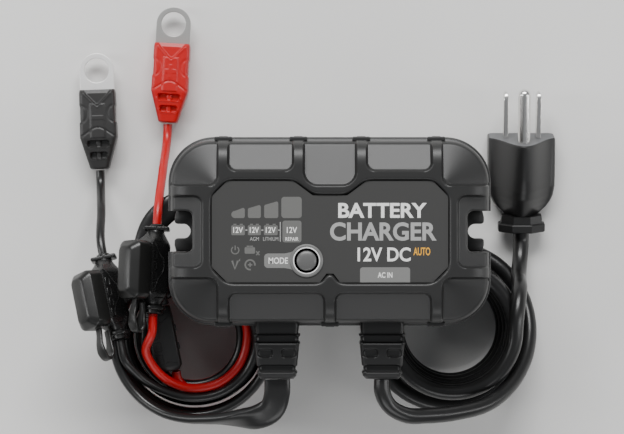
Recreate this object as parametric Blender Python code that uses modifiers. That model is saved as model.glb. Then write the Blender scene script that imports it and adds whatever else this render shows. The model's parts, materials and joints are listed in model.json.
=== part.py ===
"""Car battery charger: a ribbed case with two cords, lying on its wound cords on a table.

Metres, +Z up. The origin is the centre of the case. +X is the case's right, +Y its top edge,
and +Z comes out of its front. The table is at TABLE_Z, below the two coils that the case lies on.
"""

import math

import bmesh
import bpy
from mathutils import Matrix, Vector

MM = 0.001
GAP = 0.3 * MM  # clearance between neighbouring pieces

# case
CASE_W = 119.4 * MM
CASE_H = 69.8 * MM
CASE_FRONT = 24.0 * MM
CASE_BACK = -23.2 * MM
BACK_PAD = -24.0 * MM
CORNER_R = 17.0 * MM
RIB_W = 3.9 * MM
TOP_RIBS_X = (11.45 * MM, 38.8 * MM)
SIDE_RIBS_Y = 14.85 * MM
LUG_POCKET_X = 49.9 * MM
LUG_POCKET_HALF = 7.5 * MM
LUG_FRONT = -17.0 * MM
LUG_SLOT_W = 5.4 * MM
LUG_SLOT_END_X = 54.9 * MM
SCREW_X = 44.0 * MM
SCREW_Y = 24.0 * MM

# label panel and MODE button
LABEL_HALF_W = 42.8 * MM
LABEL_HALF_H = 18.4 * MM
LABEL_CHAMFER = 5.6 * MM
LABEL_Z = 23.0 * MM
LABEL_T = 0.8 * MM
BUTTON_X = -8.46 * MM
BUTTON_Y = -10.5 * MM
BUTTON_R = 3.6 * MM
BUTTON_TRAVEL = 0.8 * MM

# surface that the coils, plug and terminals lie on
TABLE_Z = BACK_PAD - 37.0 * MM

# cords
GROMMET_X = 19.4 * MM
GROMMET_END_Y = -54.4 * MM
AC_D = 6.0 * MM
AC_COIL = (47.0 * MM, -37.6 * MM)
AC_TURN_R = 23.8 * MM
AC_OUTER_R = 30.6 * MM
AC_STACK = 36.3 * MM
FLAT_W = 9.6 * MM
FLAT_T = 3.8 * MM
DC_COIL = (-51.8 * MM, -40.7 * MM)
DC_TURN_R = 29.8 * MM
DC_STACK = 29.4 * MM
LEAD_D = 3.4 * MM
LEAD_COIL = (-51.8 * MM, -40.7 * MM)
LEAD_INNER_R = 16.3 * MM
LEAD_OUTER_R = 27.4 * MM
LEAD_STACK = 24.4 * MM
LEAD_TURN = (-50.5 * MM, -40.6 * MM)
RED_TURN_R = 19.3
BLACK_TURN_R = 23.05

# mains plug, lying on its tapered side
PLUG_AT = Vector((75.0 * MM, -0.1 * MM, TABLE_Z + 5.5 * MM))
PLUG_TILT = math.radians(13.2)
PLUG_FACE_T = 36.2 * MM
BLADE_PITCH = 12.7 * MM
BLADE_SIZE = (1.5 * MM, 17.6 * MM, 6.3 * MM)
GROUND_R = 2.4 * MM
GROUND_L = 21.0 * MM

# fuse holders: centre of each body on the wire's axis, its tilt in plan and its slope
HOLDER_L = 29.0 * MM
CAP_TRAVEL = 9.0 * MM
CAP_SHIFT = -1.2 * MM
HOLDERS = {
    "black": ((-82.6 * MM, -25.1 * MM, TABLE_Z + 34.2 * MM), 12.4, -13.0),
    "red": ((-65.7 * MM, -14.4 * MM, TABLE_Z + 40.2 * MM), -2.2, -7.0),
}
HOLDER_ROLL = 45.0

# ring terminals: hole centre in plan, and the tilt of the boot in plan
RING_HOLE_R = 4.8 * MM
RING_R = 6.65 * MM
RING_T = 1.6 * MM
BOOT_L = 31.0 * MM
BOOTS = {
    "black": ((-90.4 * MM, 62.4 * MM), 2.0),
    "red": ((-60.4 * MM, 80.4 * MM), -3.3),
}
BOOT_AXIS_Z = TABLE_Z + 5.6 * MM

COLOURS = {
    "case_plastic": ((0.028, 0.028, 0.028), 0.45, 0.0),
    "label_plastic": ((0.055, 0.055, 0.052), 0.55, 0.0),
    "button_plastic": ((0.24, 0.24, 0.23), 0.4, 0.0),
    "bezel_plastic": ((0.32, 0.32, 0.31), 0.5, 0.0),
    "clear_plastic": ((0.5, 0.5, 0.5), 0.2, 0.0),
    "cord_rubber": ((0.03, 0.03, 0.03), 0.5, 0.0),
    "red_rubber": ((0.55, 0.015, 0.012), 0.4, 0.0),
    "plated_metal": ((0.75, 0.75, 0.74), 0.25, 1.0),
    "board_green": ((0.02, 0.12, 0.05), 0.5, 0.0),
    "ferrite": ((0.05, 0.05, 0.055), 0.7, 0.0),
    "copper_winding": ((0.45, 0.18, 0.06), 0.35, 1.0),
    "capacitor_sleeve": ((0.02, 0.025, 0.08), 0.4, 0.0),
    "aluminium": ((0.7, 0.7, 0.7), 0.35, 1.0),
    "fuse_plastic": ((0.5, 0.25, 0.05), 0.3, 0.0),
}

PARTS = None
CUTTERS = None


# ---------------------------------------------------------------- scene and materials


def clear_scene():
    for obj in list(bpy.data.objects):
        bpy.data.objects.remove(obj, do_unlink=True)


def new_collection(name):
    made = bpy.data.collections.new(name)
    bpy.context.scene.collection.children.link(made)
    return made


def material(slot):
    found = bpy.data.materials.get(slot)
    if found:
        return found
    colour, roughness, metallic = COLOURS[slot]
    made = bpy.data.materials.new(slot)
    made.use_nodes = True
    shader = made.node_tree.nodes["Principled BSDF"]
    shader.inputs["Base Color"].default_value = (*colour, 1.0)
    shader.inputs["Roughness"].default_value = roughness
    shader.inputs["Metallic"].default_value = metallic
    return made


def add_object(name, mesh, slot=None, smooth_angle=None):
    """A part when it has a material slot, and otherwise a cutter or a piece that a part takes in."""
    obj = bpy.data.objects.new(name, mesh)
    if slot:
        mesh.materials.append(material(slot))
        PARTS.objects.link(obj)
        if smooth_angle:
            mesh.shade_smooth()
            mesh.set_sharp_from_angle(angle=math.radians(smooth_angle))
    else:
        CUTTERS.objects.link(obj)
        obj.hide_render = True
        obj.display_type = "WIRE"
    return obj


def from_bmesh(name, bm, slot=None, smooth_angle=None):
    bmesh.ops.recalc_face_normals(bm, faces=bm.faces)
    mesh = bpy.data.meshes.new(name)
    bm.to_mesh(mesh)
    bm.free()
    return add_object(name, mesh, slot, smooth_angle)


# ---------------------------------------------------------------- basic shapes


def box(name, low, high, slot=None, bevel=0.0):
    """A box between two corners, with its edges bevelled if asked."""
    low, high = Vector(low), Vector(high)
    size = high - low
    bm = bmesh.new()
    place = Matrix.Translation((low + high) / 2) @ Matrix.Diagonal((*size, 1.0))
    bmesh.ops.create_cube(bm, size=1.0, matrix=place)
    if bevel:
        bmesh.ops.bevel(bm, geom=bm.edges[:], offset=bevel, segments=2, affect="EDGES", profile=0.5)
    return from_bmesh(name, bm, slot)


def cylinder(name, at, radius, z_low, z_high, slot=None, segments=24):
    bm = bmesh.new()
    centre = Vector((at[0], at[1], (z_low + z_high) / 2))
    bmesh.ops.create_cone(
        bm,
        cap_ends=True,
        segments=segments,
        radius1=radius,
        radius2=radius,
        depth=z_high - z_low,
        matrix=Matrix.Translation(centre),
    )
    return from_bmesh(name, bm, slot, 40)


def turned(name, profile, slot=None, steps=24, at=(0, 0, 0)):
    """A turned solid: (radius, height) pairs that run down the outer side, swept round Z."""
    mesh = bpy.data.meshes.new(name)
    points = [(radius, 0, height) for radius, height in profile]
    ring = profile[0] == profile[-1]
    if ring:
        points = points[:-1]
    count = len(points)
    edges = [(i, (i + 1) % count) for i in range(count if ring else count - 1)]
    mesh.from_pydata(points, edges, [])
    obj = add_object(name, mesh, slot)
    obj.location = at
    screw = obj.modifiers.new("turn", "SCREW")
    screw.steps = steps
    screw.render_steps = steps
    screw.use_merge_vertices = True
    screw.merge_threshold = 0.00001
    return obj


def rounded_outline(half_x, half_y, radius, steps=6):
    """Points round a rectangle with round corners, anticlockwise."""
    radius = min(radius, half_x, half_y)
    points = []
    for sx, sy, start in ((1, 1, 0), (-1, 1, 90), (-1, -1, 180), (1, -1, 270)):
        for i in range(steps + 1):
            angle = math.radians(start + 90 * i / steps)
            x = sx * (half_x - radius) + radius * math.cos(angle)
            y = sy * (half_y - radius) + radius * math.sin(angle)
            points.append((x, y))
    return points


def loft(name, sections, slot=None, smooth_angle=None):
    """A closed solid through sections with equal numbers of points; the end sections are capped."""
    bm = bmesh.new()
    rings = [[bm.verts.new(p) for p in section] for section in sections]
    count = len(rings[0])
    for lower, upper in zip(rings, rings[1:]):
        for i in range(count):
            j = (i + 1) % count
            bm.faces.new((lower[i], lower[j], upper[j], upper[i]))
    bm.faces.new(rings[0])
    bm.faces.new(rings[-1])
    return from_bmesh(name, bm, slot, smooth_angle)


def prism(name, outline, z_low, z_high, slot=None):
    return loft(name, [[(x, y, z) for x, y in outline] for z in (z_low, z_high)], slot)


def boolean(obj, other, operation):
    other.hide_render = True
    change = obj.modifiers.new(f"{operation} {other.name}", "BOOLEAN")
    change.operation = operation
    change.object = other
    change.solver = "EXACT"


def cut(obj, *others):
    for other in others:
        boolean(obj, other, "DIFFERENCE")


def join(obj, *others):
    for other in others:
        boolean(obj, other, "UNION")


# ---------------------------------------------------------------- case


def case_ring(z, inset):
    outline = rounded_outline(CASE_W / 2 - inset, CASE_H / 2 - inset, CORNER_R - inset, 7)
    return [(x, y, z) for x, y in outline]


def case_solid(name, profile):
    """A case half: (height, inset) pairs from the inner floor up over the rim and down outside."""
    return loft(name, [case_ring(z * MM, inset * MM) for z, inset in profile], "case_plastic", 30)


def slanted_cutter(name, x_range, y_range, deep, at, slope):
    """A box over a patch of the front whose floor is a plane: height deep at at, falling by slope."""

    def floor(x, y):
        return deep - slope[0] * abs(x - at[0]) - slope[1] * abs(y - at[1])

    corners = [(x_range[0], y_range[0]), (x_range[1], y_range[0])]
    corners += [(x_range[1], y_range[1]), (x_range[0], y_range[1])]
    low = [(x, y, floor(x, y)) for x, y in corners]
    high = [(x, y, CASE_FRONT + 10 * MM) for x, y in corners]
    return loft(name, [low, high])


def panel_cutters():
    """The sunk panels between the ribs on the cover's shoulders."""
    out_x, out_y = CASE_W / 2 + 5 * MM, CASE_H / 2 + 5 * MM
    deep = 22.6 * MM
    made = []
    rib_in = TOP_RIBS_X[0] - RIB_W / 2
    rib_mid = TOP_RIBS_X[0] + RIB_W / 2
    rib_out = TOP_RIBS_X[1] - RIB_W / 2
    rib_end = TOP_RIBS_X[1] + RIB_W / 2
    made.append(
        slanted_cutter(
            "top_middle_panel", (-rib_in, rib_in), (16.7 * MM, out_y), deep, (0, 16.7 * MM), (0, 0.34)
        )
    )
    for side in (-1, 1):
        spans = sorted((side * rib_mid, side * rib_out))
        made.append(
            slanted_cutter(f"top_panel_{side}", spans, (22.1 * MM, out_y), deep, (0, 22.1 * MM), (0, 0.42))
        )
        spans = sorted((side * RIB_W / 2, side * rib_out))
        at = (0, -22.3 * MM)
        made.append(slanted_cutter(f"bottom_panel_{side}", spans, (-out_y, at[1]), deep, at, (0, 0.42)))
        spans = sorted((side * rib_end, side * out_x))
        side_in = SIDE_RIBS_Y + RIB_W / 2
        for up in (-1, 1):
            corner_y = sorted((up * side_in, up * out_y))
            at = (side * rib_end, up * side_in)
            made.append(slanted_cutter(f"corner_panel_{side}_{up}", spans, corner_y, deep, at, (0.26, 0.3)))
        recess_y = SIDE_RIBS_Y - RIB_W / 2
        spans = sorted((side * 46.4 * MM, side * out_x))
        at = (side * 46.4 * MM, 0)
        made.append(slanted_cutter(f"side_recess_{side}", spans, (-recess_y, recess_y), deep, at, (0.4, 0)))
    return made


def label_outline(grow=0.0):
    """The label panel: chamfered corners, a wide dip in its top edge, a small one in its bottom edge."""
    w, h, c = LABEL_HALF_W + grow, LABEL_HALF_H + grow, LABEL_CHAMFER
    dip_w, dip_floor, dip_d = 13.3 * MM - grow, 6.2 * MM - grow, 5.3 * MM
    notch_w, notch_floor, notch_d = 3.7 * MM - grow, 1.3 * MM - grow, 3.2 * MM
    return [
        (-w, -h + c),
        (-w + c, -h),
        (-notch_w, -h),
        (-notch_floor, -h + notch_d),
        (notch_floor, -h + notch_d),
        (notch_w, -h),
        (w - c, -h),
        (w, -h + c),
        (w, h - c),
        (w - c, h),
        (dip_w, h),
        (dip_floor, h - dip_d),
        (-dip_floor, h - dip_d),
        (-dip_w, h),
        (-w + c, h),
        (-w, h - c),
    ]


def grommet_openings(name):
    """The openings in the wall of the case that the two strain reliefs' necks pass through."""
    low_y, high_y = -CASE_H / 2 - 3 * MM, -CASE_H / 2 + 5 * MM
    return [
        box(
            f"{name}_opening_{side}",
            (side * GROMMET_X - 7.9 * MM, low_y, -5.9 * MM),
            (side * GROMMET_X + 7.9 * MM, high_y, 5.9 * MM),
        )
        for side in (-1, 1)
    ]


def lug_walls(name, z_low, z_high):
    """Blocks that wall in the side pockets."""
    return [
        box(
            f"{name}_wall_{side}",
            (min(side * 46.0 * MM, side * 57.0 * MM), -11.0 * MM, z_low),
            (max(side * 46.0 * MM, side * 57.0 * MM), 11.0 * MM, z_high),
        )
        for side in (-1, 1)
    ]


def lug_pockets(name, z_low, z_high):
    out_x = CASE_W / 2 + 4 * MM
    return [
        box(
            f"{name}_pocket_{side}",
            (min(side * LUG_POCKET_X, side * out_x), -LUG_POCKET_HALF, z_low),
            (max(side * LUG_POCKET_X, side * out_x), LUG_POCKET_HALF, z_high),
        )
        for side in (-1, 1)
    ]


def lug_slots():
    """Open-ended slots for the mounting screws."""
    made = []
    half = LUG_SLOT_W / 2
    for side in (-1, 1):
        angles = [math.radians(90 + 180 * i / 12) for i in range(13)]
        outline = [(side * (LUG_SLOT_END_X + half * math.cos(a)), half * math.sin(a)) for a in angles]
        outline += [(side * (CASE_W / 2 + 4 * MM), -half), (side * (CASE_W / 2 + 4 * MM), half)]
        made.append(prism(f"lug_slot_{side}", outline, CASE_BACK - 4 * MM, LUG_FRONT + 4 * MM))
    return made


def screw_places():
    return [(sx * SCREW_X, sy * SCREW_Y) for sx in (-1, 1) for sy in (-1, 1)]


def gasket_strip(name, outer, inner, z_low, z_high, slot=None):
    """A strip along the rim, between two insets from the outline. It passes inside the side pockets,
    and leaves out the bottom edge's stretch where the strain reliefs are clamped."""

    def slab(part, inset):
        outline = [(x, y) for x, y, _ in case_ring(0, inset * MM)]
        made = prism(f"{name}_{part}", outline, z_low - (part == "hole") * MM, z_high + (part == "hole") * MM)
        grown = inset * MM
        for side in (-1, 1):
            low_x, high_x = sorted((side * (LUG_POCKET_X - grown), side * 70 * MM))
            half = LUG_POCKET_HALF + grown
            cut(made, box(f"{name}_{part}_{side}", (low_x, -half, -9 * MM), (high_x, half, 9 * MM)))
        return made

    strip = slab("strip", outer)
    cut(strip, slab("hole", inner))
    clear = GROMMET_X + 9.2 * MM + (slot is not None) * GAP
    cut(strip, box(f"{name}_stop", (-clear, -50 * MM, -9 * MM), (clear, -20 * MM, 9 * MM)))
    if slot:
        CUTTERS.objects.unlink(strip)
        PARTS.objects.link(strip)
        strip.name = name
        strip.hide_render = False
        strip.display_type = "TEXTURED"
        strip.data.materials.append(material(slot))
    return strip


def rear_shell():
    shell = case_solid(
        "rear_shell",
        [
            (-20.6, 8.0),
            (-18.5, 5.0),
            (-13.0, 3.4),
            (-0.15, 3.4),
            (-0.15, 0.0),
            (-13.0, 0.4),
            (-19.0, 2.2),
            (-23.2, 6.0),
        ],
    )
    pad = prism("back_pad", rounded_outline(17 * MM, 29 * MM, 4 * MM, 3), BACK_PAD, CASE_BACK + 1.5 * MM)
    join(shell, pad, *lug_walls("rear", -22.0 * MM, -0.15 * MM))
    bosses = [
        cylinder(f"rear_boss_{i}", at, 4.2 * MM, -21.5 * MM, -4 * MM, segments=16)
        for i, at in enumerate(screw_places())
    ]
    posts = [
        cylinder(f"board_post_{i}", (x * 0.82, y * 0.58), 3 * MM, -21.5 * MM, -9.8 * MM, segments=12)
        for i, (x, y) in enumerate(screw_places())
    ]
    join(shell, *bosses, *posts)
    cut(shell, *lug_pockets("rear", LUG_FRONT, 2 * MM), *lug_slots(), *grommet_openings("rear"))
    cut(shell, gasket_strip("gasket_groove", 0.9, 2.5, -1.3 * MM, 1 * MM))
    for i, at in enumerate(screw_places()):
        bore = cylinder(f"rear_bore_{i}", at, 1.9 * MM, -30 * MM, 2 * MM, segments=16)
        seat = cylinder(f"rear_seat_{i}", at, 3.6 * MM, -30 * MM, -19.5 * MM, segments=16)
        cut(shell, bore, seat)
    return shell


def front_cover():
    cover = case_solid(
        "front_cover",
        [
            (19.2, 17.0),
            (17.2, 12.0),
            (14.0, 6.0),
            (10.0, 3.6),
            (0.15, 3.4),
            (0.15, 0.4),
            (14.0, 0.8),
            (20.0, 2.4),
            (23.0, 5.2),
            (24.0, 8.6),
        ],
    )
    bosses = [
        cylinder(f"front_boss_{i}", at, 3.6 * MM, 2 * MM, 18 * MM, segments=16)
        for i, at in enumerate(screw_places())
    ]
    join(cover, *lug_walls("front", 0.15 * MM, 17.0 * MM), *bosses)
    cut(cover, *panel_cutters())
    cut(cover, prism("label_recess", label_outline(GAP), LABEL_Z - LABEL_T - GAP, 30 * MM))
    cut(cover, *lug_pockets("front", -2 * MM, 30 * MM), *grommet_openings("front"))
    cut(cover, box("window_opening", (-35.6 * MM, 4.4 * MM, 10 * MM), (-8.6 * MM, 13.2 * MM, 25 * MM)))
    cut(cover, cylinder("button_opening", (BUTTON_X, BUTTON_Y), BUTTON_R + 0.4 * MM, 10 * MM, 30 * MM))
    for i, at in enumerate(screw_places()):
        cut(cover, cylinder(f"front_bore_{i}", at, 1.8 * MM, 0, 12 * MM, segments=16))
    return cover


def label_panel():
    panel = prism("label_panel", label_outline(), LABEL_Z - LABEL_T, LABEL_Z, "label_plastic")
    cut(panel, cylinder("label_hole", (BUTTON_X, BUTTON_Y), BUTTON_R + 0.4 * MM, 10 * MM, 30 * MM))


def mode_button():
    """A domed cap on a stem, held under the cover by its flange."""
    angles = [math.radians(a) for a in (0, 25, 50, 75, 90)]
    dome = [(BUTTON_R * math.sin(a), 23.4 * MM + 0.9 * MM * math.cos(a)) for a in angles]
    profile = dome + [
        (BUTTON_R, 18.8 * MM),
        (4.9 * MM, 18.8 * MM),
        (4.9 * MM, 18.1 * MM),
        (2.0 * MM, 18.1 * MM),
        (2.0 * MM, 17.8 * MM),
        (0.0, 17.8 * MM),
    ]
    turned("mode_button", profile, "button_plastic", 32, (BUTTON_X, BUTTON_Y, 0))


def button_bezel():
    profile = [
        (4.4 * MM, LABEL_Z + 0.9 * MM),
        (6.0 * MM, LABEL_Z + 0.7 * MM),
        (6.0 * MM, LABEL_Z + GAP),
        (4.4 * MM, LABEL_Z + GAP),
    ]
    turned("button_bezel", profile + profile[:1], "bezel_plastic", 32, (BUTTON_X, BUTTON_Y, 0))


def case_screws():
    profile = [
        (0.0, 8.0),
        (1.5, 7.2),
        (1.5, -19.8),
        (3.2, -19.8),
        (3.2, -21.6),
        (1.4, -21.6),
        (1.4, -20.8),
        (0.0, -20.8),
    ]
    for i, (x, y) in enumerate(screw_places()):
        turned(f"case_screw_{i + 1}", [(r * MM, z * MM) for r, z in profile], "plated_metal", 12, (x, y, 0))


# ---------------------------------------------------------------- inside the case


def electronics():
    board_top = -7.8 * MM
    low = board_top + GAP
    box("circuit_board", (-43 * MM, -18 * MM, -9.4 * MM), (43 * MM, 18 * MM, board_top), "board_green")
    box("control_board", (-37 * MM, -15 * MM, 12.2 * MM), (24 * MM, 14.6 * MM, 13.4 * MM), "board_green")
    box(
        "mode_switch",
        (BUTTON_X - 3 * MM, BUTTON_Y - 3 * MM, 13.7 * MM),
        (BUTTON_X + 3 * MM, BUTTON_Y + 3 * MM, 16.7 * MM),
        "case_plastic",
        0.3 * MM,
    )
    guide_low, guide_high = (-35.2 * MM, 4.8 * MM, 13.7 * MM), (-9.0 * MM, 12.8 * MM, 21.8 * MM)
    box("charge_light_guide", guide_low, guide_high, "clear_plastic")
    core_x, core_z = 22 * MM, low + 8 * MM
    core = box(
        "transformer_core",
        (core_x - 13 * MM, -6 * MM, core_z - 8 * MM),
        (core_x + 13 * MM, 8 * MM, core_z + 8 * MM),
        "ferrite",
        0.5 * MM,
    )
    for side in (-1, 1):
        inner, outer = sorted((core_x + side * 4 * MM, core_x + side * 9 * MM))
        low_z, high_z = core_z - 5.5 * MM, core_z + 5.5 * MM
        cut(core, box(f"core_window_{side}", (inner, -20 * MM, low_z), (outer, 20 * MM, high_z)))
    winding = box(
        "transformer_winding",
        (core_x - 8.7 * MM, -10 * MM, core_z - 5.2 * MM),
        (core_x + 8.7 * MM, 12 * MM, core_z + 5.2 * MM),
        "copper_winding",
        1.5 * MM,
    )
    low_x, high_x = core_x - 4.3 * MM, core_x + 4.3 * MM
    cut(winding, box("winding_bore", (low_x, -6.3 * MM, -20 * MM), (high_x, 8.3 * MM, 20 * MM)))
    for name, at, radius, height in (
        ("mains_capacitor", (2 * MM, 4 * MM), 5.5 * MM, 17 * MM),
        ("output_capacitor", (-30 * MM, -6 * MM), 4.5 * MM, 15 * MM),
    ):
        profile = [(0, low + height), (radius - 0.6 * MM, low + height), (radius, low + height - 0.6 * MM)]
        profile += [(radius, low), (0, low)]
        turned(name, profile, "capacitor_sleeve", 20, (*at, 0))
    spreader_low, spreader_high = (-26 * MM, 12.5 * MM, low), (4 * MM, 16.5 * MM, low + 15 * MM)
    box("heat_spreader", spreader_low, spreader_high, "aluminium", 0.4 * MM)
    for name, side in (("ac_terminal_block", 1), ("dc_terminal_block", -1)):
        x = side * GROMMET_X
        block_low, block_high = (x - 6 * MM, -17.5 * MM, low), (x + 6 * MM, -11.5 * MM, low + 8 * MM)
        box(name, block_low, block_high, "bezel_plastic", 0.4 * MM)


# ---------------------------------------------------------------- strain reliefs


def grommet(name, x):
    """A strain relief: a flange inside the wall, a neck in it, and a tapered body with two grooves."""
    top, end = -CASE_H / 2 - GAP, GROMMET_END_Y
    length = top - end

    def width(y):
        return 8.8 * MM + (7.0 - 8.8) * MM * (top - y) / length

    stations = [(-29.0 * MM, 9.4 * MM, 7.0 * MM), (-31.0 * MM, 9.4 * MM, 7.0 * MM)]
    stations += [(-31.0 * MM, 7.6 * MM, 5.6 * MM), (top, 7.6 * MM, 5.6 * MM)]
    groove = 0.9 * MM
    for low, high, depth in (
        (top, -38.4 * MM, 0),
        (-38.4 * MM, -40.9 * MM, groove),
        (-40.9 * MM, -49.5 * MM, 0),
        (-49.5 * MM, -51.9 * MM, groove),
        (-51.9 * MM, end, 0),
    ):
        for y in (low, high):
            stations.append((y, width(y) - depth, 0.77 * width(y) - depth))
    sections = []
    for y, half_x, half_z in stations:
        outline = rounded_outline(half_x, half_z, 2.2 * MM, 3)
        sections.append([(x + px, y, pz) for px, pz in outline])
    loft(name, sections, "cord_rubber", 30)


# ---------------------------------------------------------------- cords


def smooth_path(points, step):
    """Points every step along a smooth curve through the given ones."""
    points = [Vector(p) for p in points]
    spans = [(q - p).length for p, q in zip(points, points[1:])]
    slopes = [(q - p) / span for p, q, span in zip(points, points[1:], spans)]
    tangents = [slopes[0]]
    for before, after, s0, s1 in zip(slopes, slopes[1:], spans, spans[1:]):
        tangents.append((before * s1 + after * s0) / (s0 + s1))
    tangents.append(slopes[-1])
    dense = []
    for p, q, u, v, span in zip(points, points[1:], tangents, tangents[1:], spans):
        for i in range(24):
            t = i / 24
            along = (t**3 - 2 * t**2 + t) * span * u + (t**3 - t**2) * span * v
            dense.append((2 * t**3 - 3 * t**2 + 1) * p + (3 * t**2 - 2 * t**3) * q + along)
    dense.append(points[-1])
    lengths = [0.0]
    for p, q in zip(dense, dense[1:]):
        lengths.append(lengths[-1] + (q - p).length)
    count = max(2, round(lengths[-1] / step))
    short = 0.2 * step
    wanted = [lengths[-1] * i / count for i in range(1, count)]
    wanted = [0.0, short, *wanted, lengths[-1] - short, lengths[-1]]
    made, k = [], 0
    for want in wanted:
        while k < len(dense) - 2 and lengths[k + 1] < want:
            k += 1
        share = (want - lengths[k]) / max(lengths[k + 1] - lengths[k], 1e-12)
        made.append(dense[k].lerp(dense[k + 1], min(share, 1.0)))
    return made


def on_table(points):
    """Route points given in millimetres, with heights above the table."""
    return [Vector((x * MM, y * MM, TABLE_Z + z * MM)) for x, y, z in points]


def tube(name, points, diameter, slot, step=2.2):
    """A cord's stretch that isn't coiled."""
    curve = bpy.data.curves.new(name, "CURVE")
    curve.dimensions = "3D"
    path = smooth_path(points, step * diameter)
    spline = curve.splines.new("POLY")
    spline.points.add(len(path) - 1)
    for point, place in zip(spline.points, path):
        point.co = (*place, 1.0)
    curve.bevel_depth = diameter / 2
    curve.bevel_resolution = 2
    curve.use_fill_caps = True
    curve.materials.append(material(slot))
    obj = bpy.data.objects.new(name, curve)
    PARTS.objects.link(obj)
    return obj


def band(name, points, rolls, slot, step=9.0 * MM):
    """The flat cable's stretch that isn't coiled. rolls are (share of its length, degrees) pairs: its
    wide side lies level at 0 and stands up at 90."""
    path = smooth_path(points, step)
    sections = []
    for i, place in enumerate(path):
        ahead = path[min(i + 1, len(path) - 1)]
        behind = path[max(i - 1, 0)]
        along = (ahead - behind).normalized()
        level = along.cross(Vector((0, 0, 1))).normalized()
        up = level.cross(along)
        share = i / (len(path) - 1)
        roll = rolls[-1][1]
        for (s0, r0), (s1, r1) in zip(rolls, rolls[1:]):
            if s0 <= share <= s1:
                roll = r0 + (r1 - r0) * (share - s0) / (s1 - s0)
                break
        turn = math.radians(roll)
        wide = level * math.cos(turn) + up * math.sin(turn)
        thin = up * math.cos(turn) - level * math.sin(turn)
        outline = rounded_outline(FLAT_W / 2, FLAT_T / 2, FLAT_T / 2 - 0.05 * MM, 2)
        sections.append([place + wide * a + thin * b for a, b in outline])
    loft(name, sections, slot, 40)


def coil_ring(name, centre, profile, slot):
    """A coil's outer shape: a ring turned from (radius, height above the table) pairs."""
    closed = [(r, TABLE_Z + z) for r, z in profile]
    turned(name, closed + closed[:1], slot, 32, (*centre, 0))


def round_points(centre, radius, angles, heights):
    """Route points on a circle, in millimetres, one for each angle in degrees."""
    return [
        (
            centre[0] / MM + radius * math.cos(math.radians(a)),
            centre[1] / MM + radius * math.sin(math.radians(a)),
            z,
        )
        for a, z in zip(angles, heights)
    ]


def ac_cord():
    grommet_z = -TABLE_Z / MM
    start = GROMMET_END_Y / MM - 0.4
    route = [
        (19.4, start, grommet_z),
        (19.4, start - 4.0, grommet_z),
        (21.9, -64.4, grommet_z - 1.8),
        (28.0, -68.2, grommet_z - 4.6),
        (37.0, -68.8, grommet_z - 8.8),
        (47.0, -68.2, grommet_z - 14.5),
    ]
    route += round_points(AC_COIL, AC_OUTER_R / MM, (296, 322, 348, 4), (37.0, 26.0, 15.5, 10.6))
    tube("ac_cord", on_table(route), AC_D, "cord_rubber")
    coil_ring(
        "ac_cord_coil",
        AC_COIL,
        [
            (17.6 * MM, AC_STACK),
            (AC_TURN_R + AC_D / 2, AC_STACK),
            (AC_TURN_R + AC_D / 2, 6.2 * MM),
            (AC_OUTER_R + AC_D / 2, 6.2 * MM),
            (AC_OUTER_R + AC_D / 2, 0),
            (17.6 * MM, 0),
        ],
        "cord_rubber",
    )
    tail = [(72.9, -21.7, 26.2), (73.2, -19.8, 20.4), (73.4, -18.3, 14.2), (73.9, -15.1, 9.7)]
    tail += [(74.5, -10.5, 6.5), (74.9, -6.5, 5.2)]
    axis = Vector((0, math.cos(PLUG_TILT), math.sin(PLUG_TILT)))
    end = [PLUG_AT - axis * 3.4 * MM, PLUG_AT - axis * 0.4 * MM]
    tube("ac_cord_tail", on_table(tail) + end, AC_D, "cord_rubber", 1.0)


def dc_cable():
    grommet_z = -TABLE_Z / MM
    start = GROMMET_END_Y / MM - 0.4
    route = [
        (-19.4, start, grommet_z),
        (-19.4, start - 5.0, grommet_z - 0.2),
        (-21.2, -65.6, grommet_z - 1.8),
        (-26.6, -69.0, grommet_z - 4.2),
        (-33.6, -69.9, grommet_z - 7.2),
        (-42.4, -70.3, grommet_z - 11.2),
        (-51.8, -70.5, 44.4),
    ]
    route += round_points(DC_COIL, DC_TURN_R / MM, (248, 228, 212), (39.2, 35.8, 34.6))
    band("dc_cable", on_table(route), [(0, 0), (0.08, 0), (0.34, 88), (1, 90)], "cord_rubber", 6 * MM)
    coil_ring(
        "dc_cable_coil",
        DC_COIL,
        [
            (DC_TURN_R - FLAT_T / 2, DC_STACK),
            (DC_TURN_R + FLAT_T / 2, DC_STACK),
            (DC_TURN_R + FLAT_T / 2, 0),
            (DC_TURN_R - FLAT_T / 2, 0),
        ],
        "cord_rubber",
    )
    riser = [
        (-34.0, -10.9, 4.9),
        (-25.0, -9.6, 6.0),
        (-17.5, -4.0, 8.0),
        (-16.0, 5.0, 11.0),
        (-22.0, 12.0, 15.0),
        (-33.0, 13.6, 20.4),
        (-46.0, 12.6, 26.4),
        (-58.0, 10.2, 29.0),
        (-66.4, 3.0, 30.4),
        (-69.8, -8.0, 31.2),
        (-68.9, -17.0, 31.9),
        (-66.8, -23.8, 31.3),
        (-65.8, -28.4, 30.1),
    ]
    band("dc_cable_end", on_table(riser), [(0, 90), (0.25, 60), (0.6, 4), (1, 0)], "cord_rubber", 10 * MM)


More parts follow.
